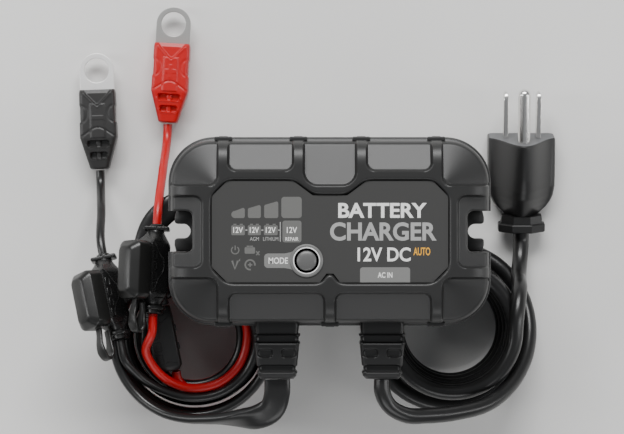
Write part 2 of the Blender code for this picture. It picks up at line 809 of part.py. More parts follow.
def leads():
    coil_ring(
        "lead_coil",
        LEAD_COIL,
        [
            (LEAD_INNER_R, LEAD_STACK),
            (LEAD_OUTER_R, LEAD_STACK),
            (LEAD_OUTER_R, 0),
            (LEAD_INNER_R, 0),
        ],
        "cord_rubber",
    )
    starts = {"red": (-58.4, -53.5), "black": (-62.9, -54.4)}
    for colour, slot in (("red", "red_rubber"), ("black", "cord_rubber")):
        x, y = starts[colour]
        route = [(x, y, 29.4), (x + 0.5, y - 2.4, 28.9), (x + 2.4, y - 5.2, 27.6), (x + 5.2, y - 7.0, 26.5)]
        tube(f"{colour}_lead_start", on_table(route), LEAD_D, slot, 1.2)
    turn_back = [
        (-43.0, -16.6, 26.9),
        (-49.0, -15.3, 28.2),
        (-53.8, -17.2, 29.3),
        (-55.8, -22.0, 30.2),
        (-53.8, -26.8, 30.8),
        (-49.0, -28.8, 31.1),
        (-41.6, -28.6, 31.2),
    ]
    red = turn_back + [(-35.4, -30.2, 31.1), (-31.9, -34.8, 30.9)]
    heights = (30.4, 29.8, 29.8, 31.4, 34.6, 37.4, 40.0)
    red += round_points(LEAD_TURN, RED_TURN_R, (356, 328, 296, 262, 232, 210, 194), heights)
    black = [(x, y, z + 3.7) for x, y, z in turn_back] + [(-34.4, -29.4, 34.7), (-29.4, -33.8, 34.2)]
    black += round_points(LEAD_TURN, BLACK_TURN_R, (356, 328, 296, 268), (32.4, 30.6, 30.3, 30.8))
    black += [(-62.2, -61.0, 32.0), (-71.6, -55.4, 35.4)]
    for colour, route, slot in (("red", red, "red_rubber"), ("black", black, "cord_rubber")):
        holder_ends = [holder_place(colour) @ Vector((0, -y * MM, 0)) for y in (23.4, 20.4, 17.1)]
        tube(f"{colour}_lead", on_table(route) + holder_ends, LEAD_D, slot, 2.6)
        top = holder_place(colour) @ Vector((0, HOLDER_L / 2 + 2.6 * MM, 0))
        boot = boot_place(colour) @ Vector((0, -BOOT_L - 7.9 * MM, 0))
        away = holder_place(colour).to_3x3() @ Vector((0, 1, 0))
        onward = boot_place(colour).to_3x3() @ Vector((0, 1, 0))
        drop = [top, top + away * 2.5 * MM, top.lerp(boot, 0.5) + Vector((0, 0, 1.2 * MM))]
        tube(f"{colour}_battery_lead", drop + [boot - onward * 3 * MM, boot], LEAD_D, slot, 2.6)


# ---------------------------------------------------------------- mains plug


def placed(obj, place):
    obj.matrix_world = place
    return obj


def plug_section(t, half_w, low, high, steps=10):
    """A D-shaped section: flat towards the table, domed towards the round pin."""
    side = low + 0.42 * (high - low)
    points = [(-half_w, t, side), (-half_w, t, low + 1.5 * MM), (-half_w + 1.5 * MM, t, low)]
    points += [(half_w - 1.5 * MM, t, low), (half_w, t, low + 1.5 * MM), (half_w, t, side)]
    for i in range(1, steps):
        angle = math.pi * i / steps
        points.append((half_w * math.cos(angle), t, side + (high - side) * math.sin(angle) ** 0.8))
    return points


def mains_plug():
    place = Matrix.Translation(PLUG_AT) @ Matrix.Rotation(PLUG_TILT, 4, "X")
    stations = [
        (6.6, 6.0, -5.0, 5.2),
        (8.8, 7.9, -6.6, 6.6),
        (12.6, 11.2, -8.0, 9.2),
        (17.6, 12.8, -9.4, 11.4),
        (28.0, 12.9, -12.0, 12.6),
        (36.2, 12.9, -13.9, 12.8),
    ]
    sections = [plug_section(*(v * MM for v in station)) for station in stations]
    placed(loft("plug_body", sections, "cord_rubber", 35), place)
    octagon = [math.radians(22.5 + 45 * i) for i in range(8)]
    ring = [(9.8 * MM * math.cos(a), 5.9 * MM * math.sin(a)) for a in octagon]
    ends = ((0, 0.92), (1.2, 1), (6.3, 1))
    collar = [[(x * share, t * MM, z * share) for x, z in ring] for t, share in ends]
    placed(loft("plug_collar", collar, "cord_rubber"), place)
    face = PLUG_FACE_T + GAP
    for name, side in (("line_blade", 1), ("neutral_blade", -1)):
        x, z = side * BLADE_PITCH / 2, -6.0 * MM
        half_t, half_w = BLADE_SIZE[0] / 2, BLADE_SIZE[2] / 2
        low = (x - half_t, face, z - half_w)
        high = (x + half_t, face + BLADE_SIZE[1], z + half_w)
        placed(box(name, low, high, "plated_metal", 0.3 * MM), place)
    nose = [(0.0, GROUND_L), (1.3 * MM, GROUND_L - 0.6 * MM), (GROUND_R, GROUND_L - 2.4 * MM)]
    nose += [(GROUND_R, 0), (0, 0)]
    pin = turned("ground_pin", nose, "plated_metal", 20)
    placed(pin, place @ Matrix.Translation((0, face, 5.9 * MM)) @ Matrix.Rotation(-math.pi / 2, 4, "X"))


# ---------------------------------------------------------------- cable splitter


def cable_splitter():
    """A flattened block with chamfered edges, where the flat cable becomes two leads."""
    place = Matrix.Translation((-63.2 * MM, -41.3 * MM, TABLE_Z + 29.8 * MM))
    place = place @ Matrix.Rotation(math.radians(11.2), 4, "Z")
    sections = []
    for y, half_x, half_z in ((-12.4, 4.0, 3.2), (-10.8, 5.1, 4.0), (9.0, 5.1, 4.0), (12.4, 4.8, 3.0)):
        outline = rounded_outline(half_x * MM, half_z * MM, 1.6 * MM, 3)
        sections.append([(px, y * MM, pz) for px, pz in outline])
    placed(loft("cable_splitter", sections, "cord_rubber", 30), place)


# ---------------------------------------------------------------- fuse holders


def holder_place(colour):
    """The holder's own frame: +Y along the wire towards the terminal, +Z the way the cap pulls off."""
    at, plan, slope = HOLDERS[colour]
    turn = Matrix.Rotation(math.radians(plan), 4, "Z") @ Matrix.Rotation(math.radians(slope), 4, "X")
    return Matrix.Translation(at) @ turn @ Matrix.Rotation(math.radians(-HOLDER_ROLL), 4, "Y")


def holder_section(y, share):
    """A U-shaped section of the holder: round below the wire, with straight sides up to its rim."""
    points = [(4.5, 6.9), (-4.5, 6.9), (-5.2, 5.6), (-5.2, -1.2)]
    for angle in (198, 216, 234, 252, 270, 288, 306, 324, 342):
        a = math.radians(angle)
        points.append((math.copysign(1.6, math.cos(a)) + 3.6 * math.cos(a), -1.2 + 3.6 * math.sin(a)))
    points += [(5.2, -1.2), (5.2, 5.6)]
    return [(q * share * MM, y * MM, p * share * MM) for q, p in points]


def cap_section(p, half_q, half_y):
    outline = rounded_outline(half_q * MM, half_y * MM, 2.2 * MM, 3)
    return [(q, y + CAP_SHIFT, p * MM) for q, y in outline]


def fuse_holder(colour):
    place = holder_place(colour)
    sections = [holder_section(y, share) for y, share in ((-13, 0.5), (-10, 1), (9.6, 1), (13, 0.5))]
    body = placed(loft(f"{colour}_fuse_holder", sections, "cord_rubber", 30), place)
    for side in (-1, 1):
        spigot = [(0, 2.2), (2.6, 2.2), (2.6, 1.0), (4.4, 1.0)]
        spigot += [(4.4, -1.2), (2.4, -1.2), (2.4, -4.9), (0, -4.9)]
        collar = turned(f"{colour}_collar_{side}", [(r * MM, z * MM) for r, z in spigot], None, 20)
        turn = Matrix.Rotation(-side * math.pi / 2, 4, "X")
        placed(collar, place @ Matrix.Translation((0, side * HOLDER_L / 2, 0)) @ turn)
        join(body, collar)
    slot_low, slot_high = (-2.9 * MM, -9.2 * MM, -1.9 * MM), (2.9 * MM, 9.2 * MM, 12 * MM)
    cut(body, placed(box(f"{colour}_fuse_slot", slot_low, slot_high), place))
    low, high = (-2.5 * MM, -8.9 * MM, -1.5 * MM), (2.5 * MM, 8.9 * MM, 11.2 * MM)
    fuse = box(f"{colour}_blade_fuse", low, high, "fuse_plastic", 0.5 * MM)
    placed(fuse, place)
    levels = ((7.3, 5.9, 11.0), (13.2, 5.8, 10.9), (15.8, 3.3, 8.4))
    cap = loft(f"{colour}_fuse_cap", [cap_section(*level) for level in levels], "cord_rubber", 30)
    placed(cap, place)
    low, high = (-3.2 * MM, -9.9 * MM, 5 * MM), (3.2 * MM, 9.3 * MM, 11.6 * MM)
    cut(cap, placed(box(f"{colour}_cap_hollow", low, high), place))
    strap = [(-12.7, 9.2), (-14.6, 9.5), (-18.4, 10.2), (-22.4, 9.6)]
    strap += [(-24.0, 7.4), (-21.6, 5.6), (-17.0, 5.4), (-13.6, 5.4)]
    points = smooth_path([place @ Vector((0, y * MM, z * MM)) for y, z in strap], 3.2 * MM)
    across = place.to_3x3() @ Vector((1, 0, 0))
    sections = []
    for i, p in enumerate(points):
        along = (points[min(i + 1, len(points) - 1)] - points[max(i - 1, 0)]).normalized()
        thin = across.cross(along).normalized()
        corners = ((-1, -1), (1, -1), (1, 1), (-1, 1))
        sections.append([p + across * a * 1.6 * MM + thin * b * 0.6 * MM for a, b in corners])
    loft(f"{colour}_cap_tether", sections, "cord_rubber")


# ---------------------------------------------------------------- boots and ring terminals


def boot_place(colour):
    """The boot's own frame: its origin is the ring's hole centre, and -Y runs back along the lead."""
    (x, y), plan = BOOTS[colour]
    return Matrix.Translation((x, y, BOOT_AXIS_Z)) @ Matrix.Rotation(math.radians(plan), 4, "Z")


def boot(colour):
    place = boot_place(colour)
    sections = []
    for y, hx, hz in ((-7.6, 6.6, 4.6), (-9.0, 7.1, 5.4), (-26.0, 7.1, 5.4), (-BOOT_L / MM - 7.4, 3.6, 3.4)):
        outline = rounded_outline(hx * MM, hz * MM, 1.8 * MM, 3)
        sections.append([(px, y * MM, pz) for px, pz in outline])
    slot = "red_rubber" if colour == "red" else "cord_rubber"
    sleeve = placed(loft(f"{colour}_boot", sections, slot, 30), place)
    mouth = box(f"{colour}_boot_mouth", (-5.7 * MM, -20 * MM, -1.2 * MM), (5.7 * MM, 0, 1.2 * MM))
    cut(sleeve, placed(mouth, place))
    angles = [math.radians(a) for a in range(0, 181, 12)]
    outline = [(RING_R * math.cos(a), RING_R * math.sin(a)) for a in angles]
    outline += [(-RING_R, -7.2 * MM), (RING_R, -7.2 * MM)]
    ring = prism(f"{colour}_ring_terminal", outline, -RING_T / 2, RING_T / 2, "plated_metal")
    placed(ring, place)
    tang = box(f"{colour}_tang", (-5.3 * MM, -19 * MM, -0.6 * MM), (5.3 * MM, -6.5 * MM, 0.6 * MM))
    hole = cylinder(f"{colour}_ring_hole", (0, 0), RING_HOLE_R, -5 * MM, 5 * MM, segments=32)
    join(ring, placed(tang, place))
    cut(ring, placed(hole, place))


def main():
    global PARTS, CUTTERS
    clear_scene()
    PARTS = new_collection("car_battery_charger")
    CUTTERS = new_collection("cutters")
    rear_shell()
    gasket_strip("gasket", 1.2, 2.2, -1.0 * MM, -0.1 * MM, "cord_rubber")
    front_cover()
    label_panel()
    mode_button()
    button_bezel()
    case_screws()
    electronics()
    grommet("ac_strain_relief", GROMMET_X)
    grommet("dc_strain_relief", -GROMMET_X)
    ac_cord()
    dc_cable()
    leads()
    mains_plug()
    cable_splitter()
    for colour in HOLDERS:
        fuse_holder(colour)
        boot(colour)


main()
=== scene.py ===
"""Looks of the car battery charger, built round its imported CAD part.

The frame is in metres, with +Z up and its origin at the case's centre. The case lies face up on its two wound
cords, and the table is at TABLE_Z. Each piece is drawn in millimetres, in the frame that its place gives it.
"""

import json
import math

import bmesh
import bpy
import numpy as np
from mathutils import Matrix, Vector

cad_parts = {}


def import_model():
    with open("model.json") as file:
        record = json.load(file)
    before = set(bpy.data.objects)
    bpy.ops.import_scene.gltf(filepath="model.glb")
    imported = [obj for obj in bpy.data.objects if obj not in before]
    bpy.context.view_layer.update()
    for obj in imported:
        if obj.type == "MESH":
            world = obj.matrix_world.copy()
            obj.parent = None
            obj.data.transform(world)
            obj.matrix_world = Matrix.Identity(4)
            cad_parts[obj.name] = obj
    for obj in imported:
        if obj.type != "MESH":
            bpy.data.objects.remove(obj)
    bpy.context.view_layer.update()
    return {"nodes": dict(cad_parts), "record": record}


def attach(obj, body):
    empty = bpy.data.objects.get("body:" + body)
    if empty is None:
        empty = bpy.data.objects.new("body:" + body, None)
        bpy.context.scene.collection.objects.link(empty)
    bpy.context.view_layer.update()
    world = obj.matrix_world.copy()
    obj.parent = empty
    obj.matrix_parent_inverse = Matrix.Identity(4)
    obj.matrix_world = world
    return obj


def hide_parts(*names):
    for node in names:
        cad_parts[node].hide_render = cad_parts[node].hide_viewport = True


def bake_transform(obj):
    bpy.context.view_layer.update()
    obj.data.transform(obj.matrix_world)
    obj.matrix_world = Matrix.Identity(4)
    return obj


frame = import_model()

MM = 0.001
UP = Vector((0, 0, 1))
TABLE_Z = -61.0 * MM
AC_D = 6.0 * MM
LEAD_D = 3.4 * MM
FLAT_W = 9.6 * MM
FLAT_T = 3.8 * MM
GROMMET_X = 19.4
GROMMET_END = -54.4
# centres in plan of the coils, and of the leads' last half turn
AC_COIL = (47.0, -37.6)
DC_COIL = (-51.8, -40.7)
LEAD_COIL = (-51.8, -40.7)
LEAD_TURN = (-50.5, -40.6)
COIL_STEP = 9
RED_TURN_R = 19.3
BLACK_TURN_R = 23.05
SPLITTER_AT = (-63.2, -41.3, 29.8)
SPLITTER_TURN = 11.2
BUTTON_AT = (-8.46, -10.5)
PLUG_AT = Vector((75.0, -0.1, 5.5))
PLUG_TILT = math.radians(13.2)
# the middle of each fuse holder, its turn in plan and its slope, in degrees
HOLDERS = {
    "black": ((-82.6, -25.1, 34.2), 12.4, -13.0),
    "red": ((-65.7, -14.4, 40.2), -2.2, -7.0),
}
HOLDER_LEAN = 45.0
HOLDER_END = 17.1
# the centre of each ring terminal's hole, and the boot's turn in plan
BOOTS = {"black": ((-90.4, 62.4), 2.0), "red": ((-60.4, 80.4), -3.3)}
BOOT_END = 38.9


# ---------------------------------------------------------------- materials


def shader_material(name, colour, roughness, metallic=0.0):
    """An even Principled material."""
    made = bpy.data.materials.new(name)
    made.use_nodes = True
    shader = made.node_tree.nodes["Principled BSDF"]
    shader.inputs["Base Color"].default_value = (*colour, 1.0)
    shader.inputs["Roughness"].default_value = roughness
    shader.inputs["Metallic"].default_value = metallic
    return made


def grained(name, colour, roughness, scale, bump, spread, metallic=0.0, detail=3.0, stretch=None):
    """A material with a fine uneven surface: a bump in metres, and a roughness that varies by spread."""
    made = shader_material(name, colour, roughness, metallic)
    tree = made.node_tree
    shader = tree.nodes["Principled BSDF"]
    place = tree.nodes.new("ShaderNodeTexCoord")
    noise = tree.nodes.new("ShaderNodeTexNoise")
    noise.inputs["Scale"].default_value = scale
    noise.inputs["Detail"].default_value = detail
    where = place.outputs["Object"]
    if stretch:
        mapping = tree.nodes.new("ShaderNodeMapping")
        mapping.inputs["Scale"].default_value = stretch
        tree.links.new(where, mapping.inputs["Vector"])
        where = mapping.outputs["Vector"]
    tree.links.new(where, noise.inputs["Vector"])
    relief = tree.nodes.new("ShaderNodeBump")
    relief.inputs["Strength"].default_value = 1.0
    relief.inputs["Distance"].default_value = bump
    tree.links.new(noise.outputs["Fac"], relief.inputs["Height"])
    tree.links.new(relief.outputs["Normal"], shader.inputs["Normal"])
    level = shader.inputs["Roughness"].default_value
    spans = tree.nodes.new("ShaderNodeMapRange")
    spans.inputs["To Min"].default_value = level - spread
    spans.inputs["To Max"].default_value = level + spread
    tree.links.new(noise.outputs["Fac"], spans.inputs["Value"])
    tree.links.new(spans.outputs["Result"], shader.inputs["Roughness"])
    return made


CASE = grained("case_black", (0.015, 0.015, 0.0148), 0.42, 2600, 0.000014, 0.05)
LABEL = grained("label_grey", (0.028, 0.0278, 0.0268), 0.66, 3400, 0.00001, 0.04)
CORD = grained("cord_black", (0.012, 0.012, 0.012), 0.3, 900, 0.000001, 0.02)
MOULD = grained("moulded_black", (0.013, 0.013, 0.013), 0.36, 1500, 0.00001, 0.05)
HOLDER_BLACK = grained("holder_black", (0.009, 0.009, 0.009), 0.28, 1200, 0.000008, 0.05)
CAP_BLACK = grained("cap_black", (0.0105, 0.0105, 0.010), 0.32, 1300, 0.00001, 0.05)
BOOT_BLACK = grained("boot_black", (0.022, 0.0215, 0.021), 0.42, 1500, 0.00001, 0.05)
PLUG_BLACK = grained("plug_black", (0.012, 0.012, 0.012), 0.38, 1700, 0.000008, 0.05)
PLUG_FACE = grained("plug_face_grey", (0.11, 0.112, 0.118), 0.5, 1700, 0.000008, 0.05)
RED = grained("lead_red", (0.46, 0.003, 0.004), 0.36, 900, 0.000003, 0.04)
METAL = grained("nickel", (0.80, 0.79, 0.77), 0.24, 900, 0.000006, 0.07, 1.0, 4.0, (1.0, 0.08, 1.0))
# The two ring terminals are one plated metal in a lit and a shaded copy: the black lead's ring is lighter, a
# painted highlight, and the red lead's ring is darker, painted shade.
RING_METAL_LIT_AND_SHADED = {
    "black": grained("ring_metal_painted_highlight", (0.86, 0.85, 0.84), 0.36, 1400, 0.000004, 0.06, 0.35),
    "red": grained("ring_metal_painted_shade", (0.34, 0.34, 0.33), 0.36, 1400, 0.000004, 0.06, 0.35),
}
BEZEL = grained("bezel_grey", (0.14, 0.14, 0.137), 0.38, 1800, 0.000006, 0.04)
BRIGHT_RING = grained("bezel_bright", (0.82, 0.82, 0.81), 0.3, 1800, 0.000004, 0.04)
BUTTON = grained("button_grey", (0.10, 0.10, 0.099), 0.34, 1800, 0.000008, 0.04)
FUSE = grained("fuse_amber", (0.62, 0.30, 0.05), 0.22, 700, 0.00001, 0.04)
FLOOR = grained("floor_pale", (0.74, 0.735, 0.72), 0.72, 160, 0.00001, 0.04)
PRINT_LOOKS = {
    name: grained(f"print_{name}", colour, roughness, 3400, bump, 0.03)
    for name, colour, roughness, bump in (
        ("grey", (0.115, 0.115, 0.110), 0.6, 0.000008),
        ("pill", (0.165, 0.165, 0.160), 0.6, 0.000008),
        ("light", (0.34, 0.34, 0.33), 0.58, 0.000008),
        ("bright", (0.33, 0.33, 0.325), 0.5, 0.000006),
        ("white", (0.80, 0.80, 0.78), 0.55, 0.000006),
        ("amber", (0.72, 0.36, 0.03), 0.55, 0.000006),
    )
}
IN_COLOUR = {"black": CORD, "red": RED}


# ---------------------------------------------------------------- shapes


def link(name, mesh, material=None, smooth=None):
    """An object of this mesh, with edges sharper than smooth degrees kept sharp."""
    obj = bpy.data.objects.new(name, mesh)
    bpy.context.scene.collection.objects.link(obj)
    if material:
        mesh.materials.append(material)
    if smooth:
        mesh.shade_smooth()
        mesh.set_sharp_from_angle(angle=math.radians(smooth))
    return obj


def skin(name, rows, material=None, smooth=40, caps=(True, True), recalc=True):
    """A tube-like skin through rows of points, each row with the same count and closed on itself."""
    rows = np.asarray(rows, float)
    high, wide = rows.shape[:2]
    index = np.arange(high * wide).reshape(high, wide)
    after = np.roll(index, -1, axis=1)
    quads = np.stack([index[:-1], after[:-1], after[1:], index[1:]], axis=-1).reshape(-1, 4)
    faces = quads.tolist()
    if caps[0]:
        faces.append(index[0][::-1].tolist())
    if caps[1]:
        faces.append(index[-1].tolist())
    mesh = bpy.data.meshes.new(name)
    mesh.from_pydata(rows.reshape(-1, 3).tolist(), [], faces)
    if recalc:
        bm = bmesh.new()
        bm.from_mesh(mesh)
        bmesh.ops.recalc_face_normals(bm, faces=bm.faces)
        bm.to_mesh(mesh)
        bm.free()
    return link(name, mesh, material, smooth)


def at_place(obj, place):
    """The same object, with its mesh moved to its place, if it has one."""
    if place is not None:
        obj.data.transform(place)
    return obj


def shaped(name, rows, material, smooth, place=None, caps=(True, True)):
    """A skin through rows in millimetres, moved to its place."""
    return at_place(skin(name, np.array(rows) * MM, material, smooth, caps), place)


def joined(name, objs, material=None, smooth=None):
    """One object from the meshes of several."""
    bm = bmesh.new()
    for obj in objs:
        bm.from_mesh(obj.data)
    mesh = bpy.data.meshes.new(name)
    bm.to_mesh(mesh)
    bm.free()
    for obj in objs:
        bpy.data.objects.remove(obj, do_unlink=True)
    return link(name, mesh, material, smooth)


def rounded(half_x, half_y, radius, steps=8, sides=1):
    """Points round a rectangle with round corners, anticlockwise."""
    radius = min(radius, half_x, half_y)
    corners = []
    for sx, sy, start in ((1, 1, 0), (-1, 1, 90), (-1, -1, 180), (1, -1, 270)):
        arc = []
        for i in range(steps + 1):
            angle = math.radians(start + 90 * i / steps)
            x = sx * (half_x - radius) + radius * math.cos(angle)
            arc.append((x, sy * (half_y - radius) + radius * math.sin(angle)))
        corners.append(arc)
    points = []
    for arc, following in zip(corners, corners[1:] + corners[:1]):
        points += arc
        (x0, y0), (x1, y1) = arc[-1], following[0]
        points += [(x0 + (x1 - x0) * i / sides, y0 + (y1 - y0) * i / sides) for i in range(1, sides)]
    return points


def turned(name, profile, material, place=None, steps=72):
    """A round piece turned about Z from (radius, height) pairs in millimetres."""
    angles = [2 * math.pi * i / steps for i in range(steps)]
    rows = []
    for r, z in profile:
        reach = max(r, 0.002) * MM
        rows.append([(reach * math.cos(a), reach * math.sin(a), z * MM) for a in angles])
    return at_place(skin(name, rows, material, 40), place)


def cushion(name, half, radius, edge, material=None):
    """A box with round corners in plan and rounded edges all over."""
    hx, hy, hz = half
    rows = []
    for end, start in ((-1, -90), (1, 0)):
        for k in range(7):
            a = math.radians(start + 90 * k / 6)
            inset = edge * (1 - math.cos(a))
            z = end * (hz - edge) + edge * math.sin(a)
            rows.append([(x, y, z) for x, y in rounded(hx - inset, hy - inset, radius)])
    return shaped(name, rows, material, 50)


def smooth_path(points, step):
    """Points every step along a smooth curve through the given ones."""
    points = [Vector(p) for p in points]
    spans = [(q - p).length for p, q in zip(points, points[1:])]
    slopes = [(q - p) / span for p, q, span in zip(points, points[1:], spans)]
    tangents = [slopes[0]]
    for before, after, s0, s1 in zip(slopes, slopes[1:], spans, spans[1:]):
        tangents.append((before * s1 + after * s0) / (s0 + s1))
    tangents.append(slopes[-1])
    dense = []
    for p, q, u, v, span in zip(points, points[1:], tangents, tangents[1:], spans):
        for i in range(16):
            t = i / 16
            along = (t**3 - 2 * t**2 + t) * span * u + (t**3 - t**2) * span * v
            dense.append((2 * t**3 - 3 * t**2 + 1) * p + (3 * t**2 - 2 * t**3) * q + along)
    dense.append(points[-1])
    lengths = [0.0]
    for p, q in zip(dense, dense[1:]):
        lengths.append(lengths[-1] + (q - p).length)
    count = max(2, round(lengths[-1] / step))
    made, k = [], 0
    for i in range(count + 1):
        want = lengths[-1] * i / count
        while k < len(dense) - 2 and lengths[k + 1] < want:
            k += 1
        share = (want - lengths[k]) / max(lengths[k + 1] - lengths[k], 1e-12)
        made.append(dense[k].lerp(dense[k + 1], min(share, 1.0)))
    return made


def path_length(points):
    """How long a line through points is."""
    return sum((q - p).length for p, q in zip(points, points[1:]))


def heading(points, i, closed=False):
    """The way a route runs at its point i."""
    last = len(points) - 1
    ahead = points[(i + 1) % len(points)] if closed else points[min(i + 1, last)]
    behind = points[i - 1] if closed else points[max(i - 1, 0)]
    return (ahead - behind).normalized()


def wire(name, points, radius, material=None, closed=False, sides=8):
    """A thin round line through points, for raised lines and frames."""
    points = [Vector(p) for p in points]
    angles = [2 * math.pi * k / sides for k in range(sides)]
    rows = []
    for i, place in enumerate(points):
        along = heading(points, i, closed)
        level = along.orthogonal() if abs(along.z) > 0.99 else along.cross(UP)
        level.normalize()
        up = level.cross(along)
        rows.append([place + level * radius * math.cos(a) + up * radius * math.sin(a) for a in angles])
    if closed:
        rows.append(rows[0])
    return skin(name, rows, material, 60, (not closed, not closed))


def raised_line(points, radius, closed=False):
    """A thin line on a piece's surface, in millimetres, to be joined to the piece."""
    return wire("line", [Vector(p) * MM for p in points], radius * MM, None, closed, 6)


def eased(t):
    """A smooth step from 0 to 1 over the same range."""
    t = np.clip(t, 0.0, 1.0)
    return t * t * (3 - 2 * t)


def ramp(x, knots):
    """A value eased between (x, value) knots."""
    if x <= knots[0][0]:
        return knots[0][1]
    for (x0, v0), (x1, v1) in zip(knots, knots[1:]):
        if x <= x1:
            return v0 + (v1 - v0) * eased((x - x0) / (x1 - x0))
    return knots[-1][1]


def straight(x, knots):
    """A value on straight lines between (x, value) knots."""
    return float(np.interp(x, [k for k, _ in knots], [v for _, v in knots]))


def box_distance(x, y, x0, x1, y0, y1, radius):
    """How far plan points are outside a rectangle with round corners; negative inside."""
    qx = np.abs(x - (x0 + x1) / 2) - (x1 - x0) / 2 + radius
    qy = np.abs(y - (y0 + y1) / 2) - (y1 - y0) / 2 + radius
    outside = np.hypot(np.maximum(qx, 0), np.maximum(qy, 0))
    return outside + np.minimum(np.maximum(qx, qy), 0) - radius


def polygon_distance(x, y, corners):
    """How far plan points are outside a polygon; negative inside."""
    nearest = np.full(x.shape, 1e9)
    inside = np.zeros(x.shape, bool)
    for (x0, y0), (x1, y1) in zip(corners, corners[1:] + corners[:1]):
        ex, ey = x1 - x0, y1 - y0
        t = np.clip(((x - x0) * ex + (y - y0) * ey) / (ex * ex + ey * ey), 0, 1)
        nearest = np.minimum(nearest, np.hypot(x - x0 - t * ex, y - y0 - t * ey))
        if ey:
            inside ^= ((y0 > y) != (y1 > y)) & (x < (y - y0) * ex / ey + x0)
    return np.where(inside, -nearest, nearest)


def lip(distance, radius):
    """How far a surface falls at this distance from an edge that is rounded to radius."""
    t = np.clip(1 - distance / radius, 0, 1)
    return radius * (1 - np.sqrt(1 - t * t))


def world(points):
    """Route points in millimetres, with heights above the table, as points in the frame."""
    return [Vector((x * MM, y * MM, TABLE_Z + z * MM)) for x, y, z in points]


# ---------------------------------------------------------------- cords


def around(centre, angle, radius, height):
    """A route point at this angle and radius from a coil's centre."""
    a = math.radians(angle)
    return (centre[0] + radius * math.cos(a), centre[1] + radius * math.sin(a), height)


def on_circle(centre, radius, angles, heights):
    """Route points at angles round a centre, each with its height."""
    return [around(centre, a, radius, z) for a, z in zip(angles, heights)]


def wound(centre, start, stop, radii, heights):
    """Points along turns of a coil, with radii and heights as knots over the angle."""
    count = round(abs(stop - start) / COIL_STEP)
    made = []
    for i in range(count + 1):
        angle = start + (stop - start) * (i / count)
        made.append(around(centre, angle, ramp(angle, radii), straight(angle, heights)))
    return made


def cord_curve(name, points, diameter, material):
    """A round cord along points, as a curve with a bevel."""
    curve = bpy.data.curves.new(name, "CURVE")
    curve.dimensions = "3D"
    spline = curve.splines.new("POLY")
    spline.points.add(len(points) - 1)
    for point, place in zip(spline.points, points):
        point.co = (*place, 1.0)
    spline.use_smooth = True
    curve.bevel_depth = diameter / 2
    curve.bevel_resolution = 5
    curve.use_fill_caps = True
    curve.materials.append(material)
    obj = bpy.data.objects.new(name, curve)
    bpy.context.scene.collection.objects.link(obj)
    return obj


def ac_cord():
    """The mains cord: down from its strain relief, up the coil from its foot, then down to the plug."""
    start = GROMMET_END - 0.4
    exit_z = -TABLE_Z / MM
    route = [
        (GROMMET_X, start, exit_z), (GROMMET_X, start - 4.0, exit_z), (21.9, -64.4, exit_z - 1.8),
        (28.0, -68.2, exit_z - 4.6), (37.0, -68.8, exit_z - 8.8), (47.0, -68.2, exit_z - 14.5),
    ]
    route += on_circle(AC_COIL, 30.6, (296, 322, 348, 4), (37.0, 26.0, 15.5, 10.6))
    radii = [(0, 30.6), (270, 30.6), (450, 20.6), (2160, 23.8)]
    heights = [(4, 10.6), (22, 6.9), (40, 4.2), (62, 3.1), (450, 3.1), (2160, 33.2)]
    route += wound(AC_COIL, 22, 2160, radii, heights)
    route += [(71.1, -33.6, 33.2), (71.6, -29.6, 32.3), (72.3, -25.3, 30.0)]
    route += [(72.9, -21.7, 26.2), (73.2, -19.8, 20.4), (73.4, -18.3, 14.2), (73.9, -15.1, 9.7)]
    route += [(74.5, -10.5, 6.5), (74.9, -6.5, 5.2)]
    axis = Vector((0, math.cos(PLUG_TILT), math.sin(PLUG_TILT)))
    route += [tuple(PLUG_AT - axis * 3.4), tuple(PLUG_AT - axis * 0.4)]
    points = smooth_path(world(route), 1.3 * MM)
    return cord_curve("ac_cord_whole", points, AC_D, CORD), points


def band(name, points, rolls, material):
    """The flat twin cable: two round cores side by side with a shallow valley between them."""
    total = path_length(points)
    outline = []
    for i in range(28):
        a = 2 * math.pi * i / 28
        wide = FLAT_W / 2 * math.copysign(abs(math.cos(a)) ** 0.62, math.cos(a))
        thin = FLAT_T / 2 * math.copysign(abs(math.sin(a)) ** 0.62, math.sin(a))
        thin *= 1 - 0.13 * math.exp(-((wide / (0.9 * MM)) ** 2))
        outline.append((wide, thin))
    sections, gone = [], 0.0
    for i, place in enumerate(points):
        if i:
            gone += (place - points[i - 1]).length
        along = heading(points, i)
        level = along.cross(UP).normalized()
        up = level.cross(along)
        turn = math.radians(ramp(gone / total, rolls))
        wide = level * math.cos(turn) + up * math.sin(turn)
        thin = up * math.cos(turn) - level * math.sin(turn)
        sections.append([place + wide * a + thin * b for a, b in outline])
    return skin(name, sections, material, 60)


